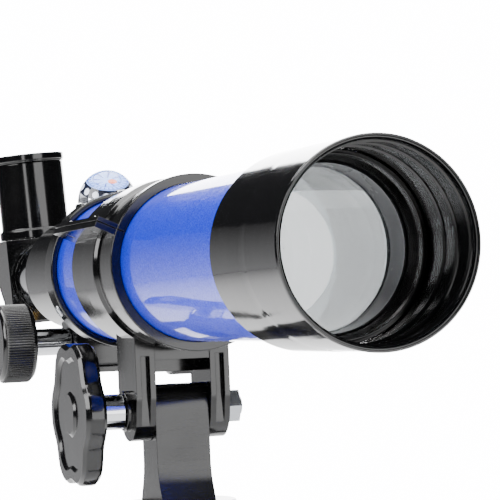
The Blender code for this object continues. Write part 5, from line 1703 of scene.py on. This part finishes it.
@dataclass(frozen=True)
class LegSize:
    """One telescopic leg, down local -Z from its hinge."""

    spread: float = 30.0
    length: float = 260.0
    block: float = 12.4
    block_head: float = 7.5
    shoulder: float = 16.0
    shoulder_height: float = 4.0
    plug: float = 16.0
    upper: float = 9.0
    upper_length: float = 128.0
    wall: float = 1.2
    collar: float = 12.0
    collar_length: float = 28.0
    collar_overlap: float = 17.0
    lower: float = 6.8
    inside: float = 80.0
    foot: float = 10.5
    foot_length: float = 20.0
    socket: float = 9.0
    gap: float = 0.3


class Leg(Assembly):
    """One telescopic leg of the tripod."""

    size = LegSize()

    def __init__(self, place: Matrix, number: int) -> None:
        """Keeps the leg's frame and number.

        Args:
            place: the hinge, with local -Z down the leg.
            number: from 1.
        """
        super().__init__(place)
        self.number = number

    def build(self) -> None:
        size = self.size
        leg = f"leg_{self.number}"
        lower_body = f"lower_leg_{self.number}"
        tube_top = -size.shoulder - size.shoulder_height
        inner = size.upper - size.wall
        half = size.block / 2
        outline = arc(size.block_head, 0.0, 180.0, 24)
        outline += [(-size.block_head, 1.0 - size.shoulder), (size.block_head, 1.0 - size.shoulder)]
        block = self.shape(f"leg_hinge_block_{self.number}").prism(outline, -half, half, "y")
        plug = [
            (0.0, tube_top - size.plug), (inner - size.gap, tube_top - size.plug),
            (inner - size.gap, tube_top),
            (size.upper + 0.8, tube_top), (size.upper + 0.8, 2.0 - size.shoulder), (0.0, 2.0 - size.shoulder),
        ]
        block.change(Boolean.JOIN, self.shape("plug").turned(eased(plug, 0.6, closed=False), MEDIUM))
        across = Matrix.Rotation(radians(90.0), 4, "X")
        hole = self.shape("hole").rod(StandSize.pin_hole, -half - 2.0, half + 2.0, across)
        block.change(Boolean.CUT, hole)
        block.piece(leg, SATIN_BLACK, "mount_plastic", crease=30.0)

        upper_top = tube_top - size.gap
        upper_bottom = upper_top - size.upper_length
        upper = [
            (size.upper, upper_bottom), (size.upper, upper_top), (inner, upper_top), (inner, upper_bottom),
        ]
        self.shape(f"upper_leg_{self.number}").turned(eased(upper, 0.3), MEDIUM).piece(
            leg, ANODISED, "leg_tube"
        )

        collar_top = upper_bottom + size.collar_overlap
        bottom = collar_top - size.collar_length
        throat = size.lower + size.gap
        sleeve = size.upper + size.gap
        collar = [
            (size.collar - 2.0, collar_top), (size.collar - 1.2, collar_top - 1.5),
            (size.collar - 1.2, bottom + 7.0),
            (size.lower + 2.2, bottom), (throat, bottom), (throat, upper_bottom - size.gap),
            (sleeve, upper_bottom - size.gap), (sleeve, collar_top),
        ]
        shape = self.shape(f"leg_collar_{self.number}").turned(eased(collar, 0.5), MEDIUM)
        grip = [
            (size.collar - 2.0, bottom + 7.0), (size.collar, bottom + 8.5), (size.collar, collar_top - 4.0),
            (size.collar - 2.0, collar_top - 3.0),
        ]
        shape.turned(grip, LARGEST, wave=ridged(24, 0.07))
        shape.piece(f"leg_collar_{self.number}", SATIN_BLACK, "mount_plastic", crease=45.0)

        foot_top = size.foot_length - size.length
        lower_bottom = foot_top - size.socket + size.gap
        lower_top = upper_bottom + size.inside
        bore = size.lower - size.wall
        lower = [(size.lower, lower_bottom), (size.lower, lower_top), (bore, lower_top), (bore, lower_bottom)]
        self.shape(f"lower_leg_{self.number}").turned(eased(lower, 0.3), MEDIUM).piece(
            lower_body, ANODISED, "leg_tube"
        )

        socket = size.lower + size.gap
        sole = -size.length - size.foot
        rubber = [(0.0, sole), (size.foot, sole), (size.foot, 5.0 - size.length)]
        for step in range(3):
            low = 6.5 - size.length + 3.2 * step
            rubber += [
                (size.foot - 0.3 - 0.5 * step, low), (size.foot - 1.2 - 0.5 * step, low + 0.6),
                (size.foot - 1.2 - 0.5 * step, low + 1.2), (size.foot - 0.4 - 0.5 * step, low + 1.8),
            ]
        rubber += [
            (size.foot - 2.0, foot_top), (socket, foot_top), (socket, foot_top - size.socket),
            (0.0, foot_top - size.socket),
        ]
        foot = self.shape(f"leg_foot_{self.number}").turned(eased(rubber, 0.4, closed=False), MEDIUM)
        floor = Matrix.Rotation(radians(size.spread), 4, "Y")
        down = shift(0.0, 0.0, -size.length) @ floor
        foot.change(Boolean.CUT, self.shape("floor").block((-60.0, -60.0, -60.0), (60.0, 60.0, 0.0), down))
        foot.piece(lower_body, RUBBER, "foot_rubber", crease=35.0)


# --------------------------------------------------------------------------------------------------
# Stage
# --------------------------------------------------------------------------------------------------


@dataclass(frozen=True)
class Panel:
    """A soft light panel.

    Attributes:
        name: the light's name.
        spot: where its middle stands, metres.
        aim: the point it faces, metres.
        width: its width, metres.
        height: its height, metres.
        radiance: how bright its surface is, W/m2/sr.
        seen: whether the camera sees it.
    """

    name: str
    spot: tuple[float, float, float]
    aim: tuple[float, float, float]
    width: float
    height: float
    radiance: float
    seen: bool = False


@dataclass(frozen=True)
class StudioSize:
    """Camera and stage, metres."""

    camera: tuple[float, float, float] = (-0.2694, -0.92615, 0.32687)
    forward: tuple[float, float, float] = (0.3160, 0.9485, 0.0240)
    up: tuple[float, float, float] = (0.033, -0.036, 0.9986)
    lens: float = 165.6
    sensor: float = 36.0
    floor: float = 6.0
    sky: str = "#C9CCD2"
    sky_strength: float = 0.06
    backdrop_strength: float = 16.0
    wash_bottom: float = 0.85
    wash_top: float = 0.12
    panels: tuple[Panel, ...] = field(default=(
        Panel("overhead_softbox", (0.0, 0.35, 1.9), (0.0, 0.0, 0.3), 2.0, 2.0, 9.0),
        Panel("key_softbox", (0.65, -1.9, 0.55), (0.0, 0.0, 0.3), 1.2, 1.9, 4.2),
        Panel("left_strip", (-1.15, -1.75, 0.55), (0.0, 0.0, 0.3), 0.35, 1.5, 5.0),
        Panel("side_softbox", (-1.7, -0.3, 1.2), (0.0, 0.0, 0.3), 1.2, 1.2, 9.0),
    ))


class Studio:
    """Pale floor, white sweep, soft light panels and the camera."""

    size = StudioSize()

    def build(self) -> None:
        """Makes the stage and sets the scene's camera."""
        self._floor()
        self._backdrop()
        self._sky()
        for panel in self.size.panels:
            self._panel(panel)
        self._camera()

    def _sheet(self, name: str, width: float, height: float, place: Matrix) -> bpy.types.Object:
        """A flat rectangle, facing its local Z."""
        maker = bmesh.new()
        x, y = width / 2, height / 2
        corners = [(-x, -y), (x, -y), (x, y), (-x, y)]
        maker.faces.new([maker.verts.new((*corner, 0.0)) for corner in corners])
        mesh = bpy.data.meshes.new(name)
        maker.to_mesh(mesh)
        maker.free()
        made = bpy.data.objects.new(name, mesh)
        bpy.context.scene.collection.objects.link(made)
        made.matrix_world = place
        return made

    def _floor(self) -> None:
        """A plain pale floor under the feet."""
        floor = self._sheet("floor", self.size.floor, self.size.floor, Matrix.Identity(4))
        floor.data.materials.append(SWEEP_PAPER.material())

    def _backdrop(self) -> None:
        """A lit white panel behind the object, and a low dim one to its left."""
        size = self.size
        ahead = Vector(size.forward)
        spot = Vector((0.0, 0.0, 0.34)) + Vector((ahead.x, ahead.y, 0.0)).normalized() * 2.6
        turn = Vector((-ahead.x, -ahead.y, 0.0)).to_track_quat("Z", "Y").to_matrix().to_4x4()
        panel = self._sheet("backdrop", 1.7, 2.4, Matrix.Translation(spot + Vector((0.35, 0.0, 0.0))) @ turn)
        # Opal acrylic, lit evenly from behind
        lit = Glow("backlit_white_acrylic", size.backdrop_strength, size.backdrop_strength)
        panel.data.materials.append(lit.material())
        turn = Vector((0.1, -1.0, 0.0)).to_track_quat("Z", "Y").to_matrix().to_4x4()
        low = self._sheet("low_wash", 1.5, 0.86, Matrix.Translation((-0.42, 2.65, 0.44)) @ turn)
        # Opal acrylic, lit only along its bottom edge
        low.data.materials.append(Glow("dim_white_acrylic", size.wash_bottom, size.wash_top).material())

    def _sky(self) -> None:
        """Even light from the room."""
        world = bpy.data.worlds.new("room")
        world.use_nodes = True
        ground = world.node_tree.nodes["Background"]
        ground.inputs[0].default_value = linear(self.size.sky)
        ground.inputs[1].default_value = self.size.sky_strength
        bpy.context.scene.world = world

    def _panel(self, panel: Panel) -> None:
        """One area light, facing its aim."""
        light = bpy.data.lights.new(panel.name, "AREA")
        light.shape = "RECTANGLE"
        light.size = panel.width
        light.size_y = panel.height
        light.energy = panel.radiance * pi * panel.width * panel.height
        made = bpy.data.objects.new(panel.name, light)
        bpy.context.scene.collection.objects.link(made)
        spot = Vector(panel.spot)
        turn = (spot - Vector(panel.aim)).to_track_quat("Z", "Y").to_matrix().to_4x4()
        made.matrix_world = Matrix.Translation(spot) @ turn
        made.visible_camera = panel.seen

    def _camera(self) -> None:
        """A long lens, close in front of the object and a little to the near side."""
        data = bpy.data.cameras.new("camera")
        data.lens = self.size.lens
        data.sensor_width = self.size.sensor
        data.dof.use_dof = False
        made = bpy.data.objects.new("camera", data)
        bpy.context.scene.collection.objects.link(made)
        back = -Vector(self.size.forward).normalized()
        up = Vector(self.size.up)
        across = up.cross(back).normalized()
        up = back.cross(across)
        turn = Matrix((across, up, back)).transposed().to_4x4()
        made.matrix_world = Matrix.Translation(self.size.camera) @ turn
        bpy.context.scene.camera = made


class Telescope:
    """The whole object."""

    def build(self) -> None:
        """Makes each assembly in its frame."""
        tube = tube_frame()
        pan = centre_of("mount_head")
        stand = Matrix.Translation((pan.x, pan.y, 0.0))
        assemblies: list[Assembly] = [
            FrontEnd(tube), Focuser(tube), Diagonal(tube), Compass(tube), Clamp(tube), Stand(stand),
        ]
        for number in (1, 2, 3):
            hinge = centre_of(f"leg_pin_{number}")
            azimuth = radians(120.0 * (number - 1) - 90.0)
            turn = Matrix.Rotation(azimuth, 4, "Z") @ Matrix.Rotation(radians(-LegSize().spread), 4, "Y")
            assemblies.append(Leg(Matrix.Translation(hinge) @ turn, number))
        for assembly in assemblies:
            LOG.info("building %s", type(assembly).__name__)
            assembly.build()


def main() -> None:
    """Builds the object and its stage."""
    logging.basicConfig(level=logging.INFO)
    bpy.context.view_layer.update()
    Telescope().build()
    Studio().build()


if __name__ == "__main__":
    main()
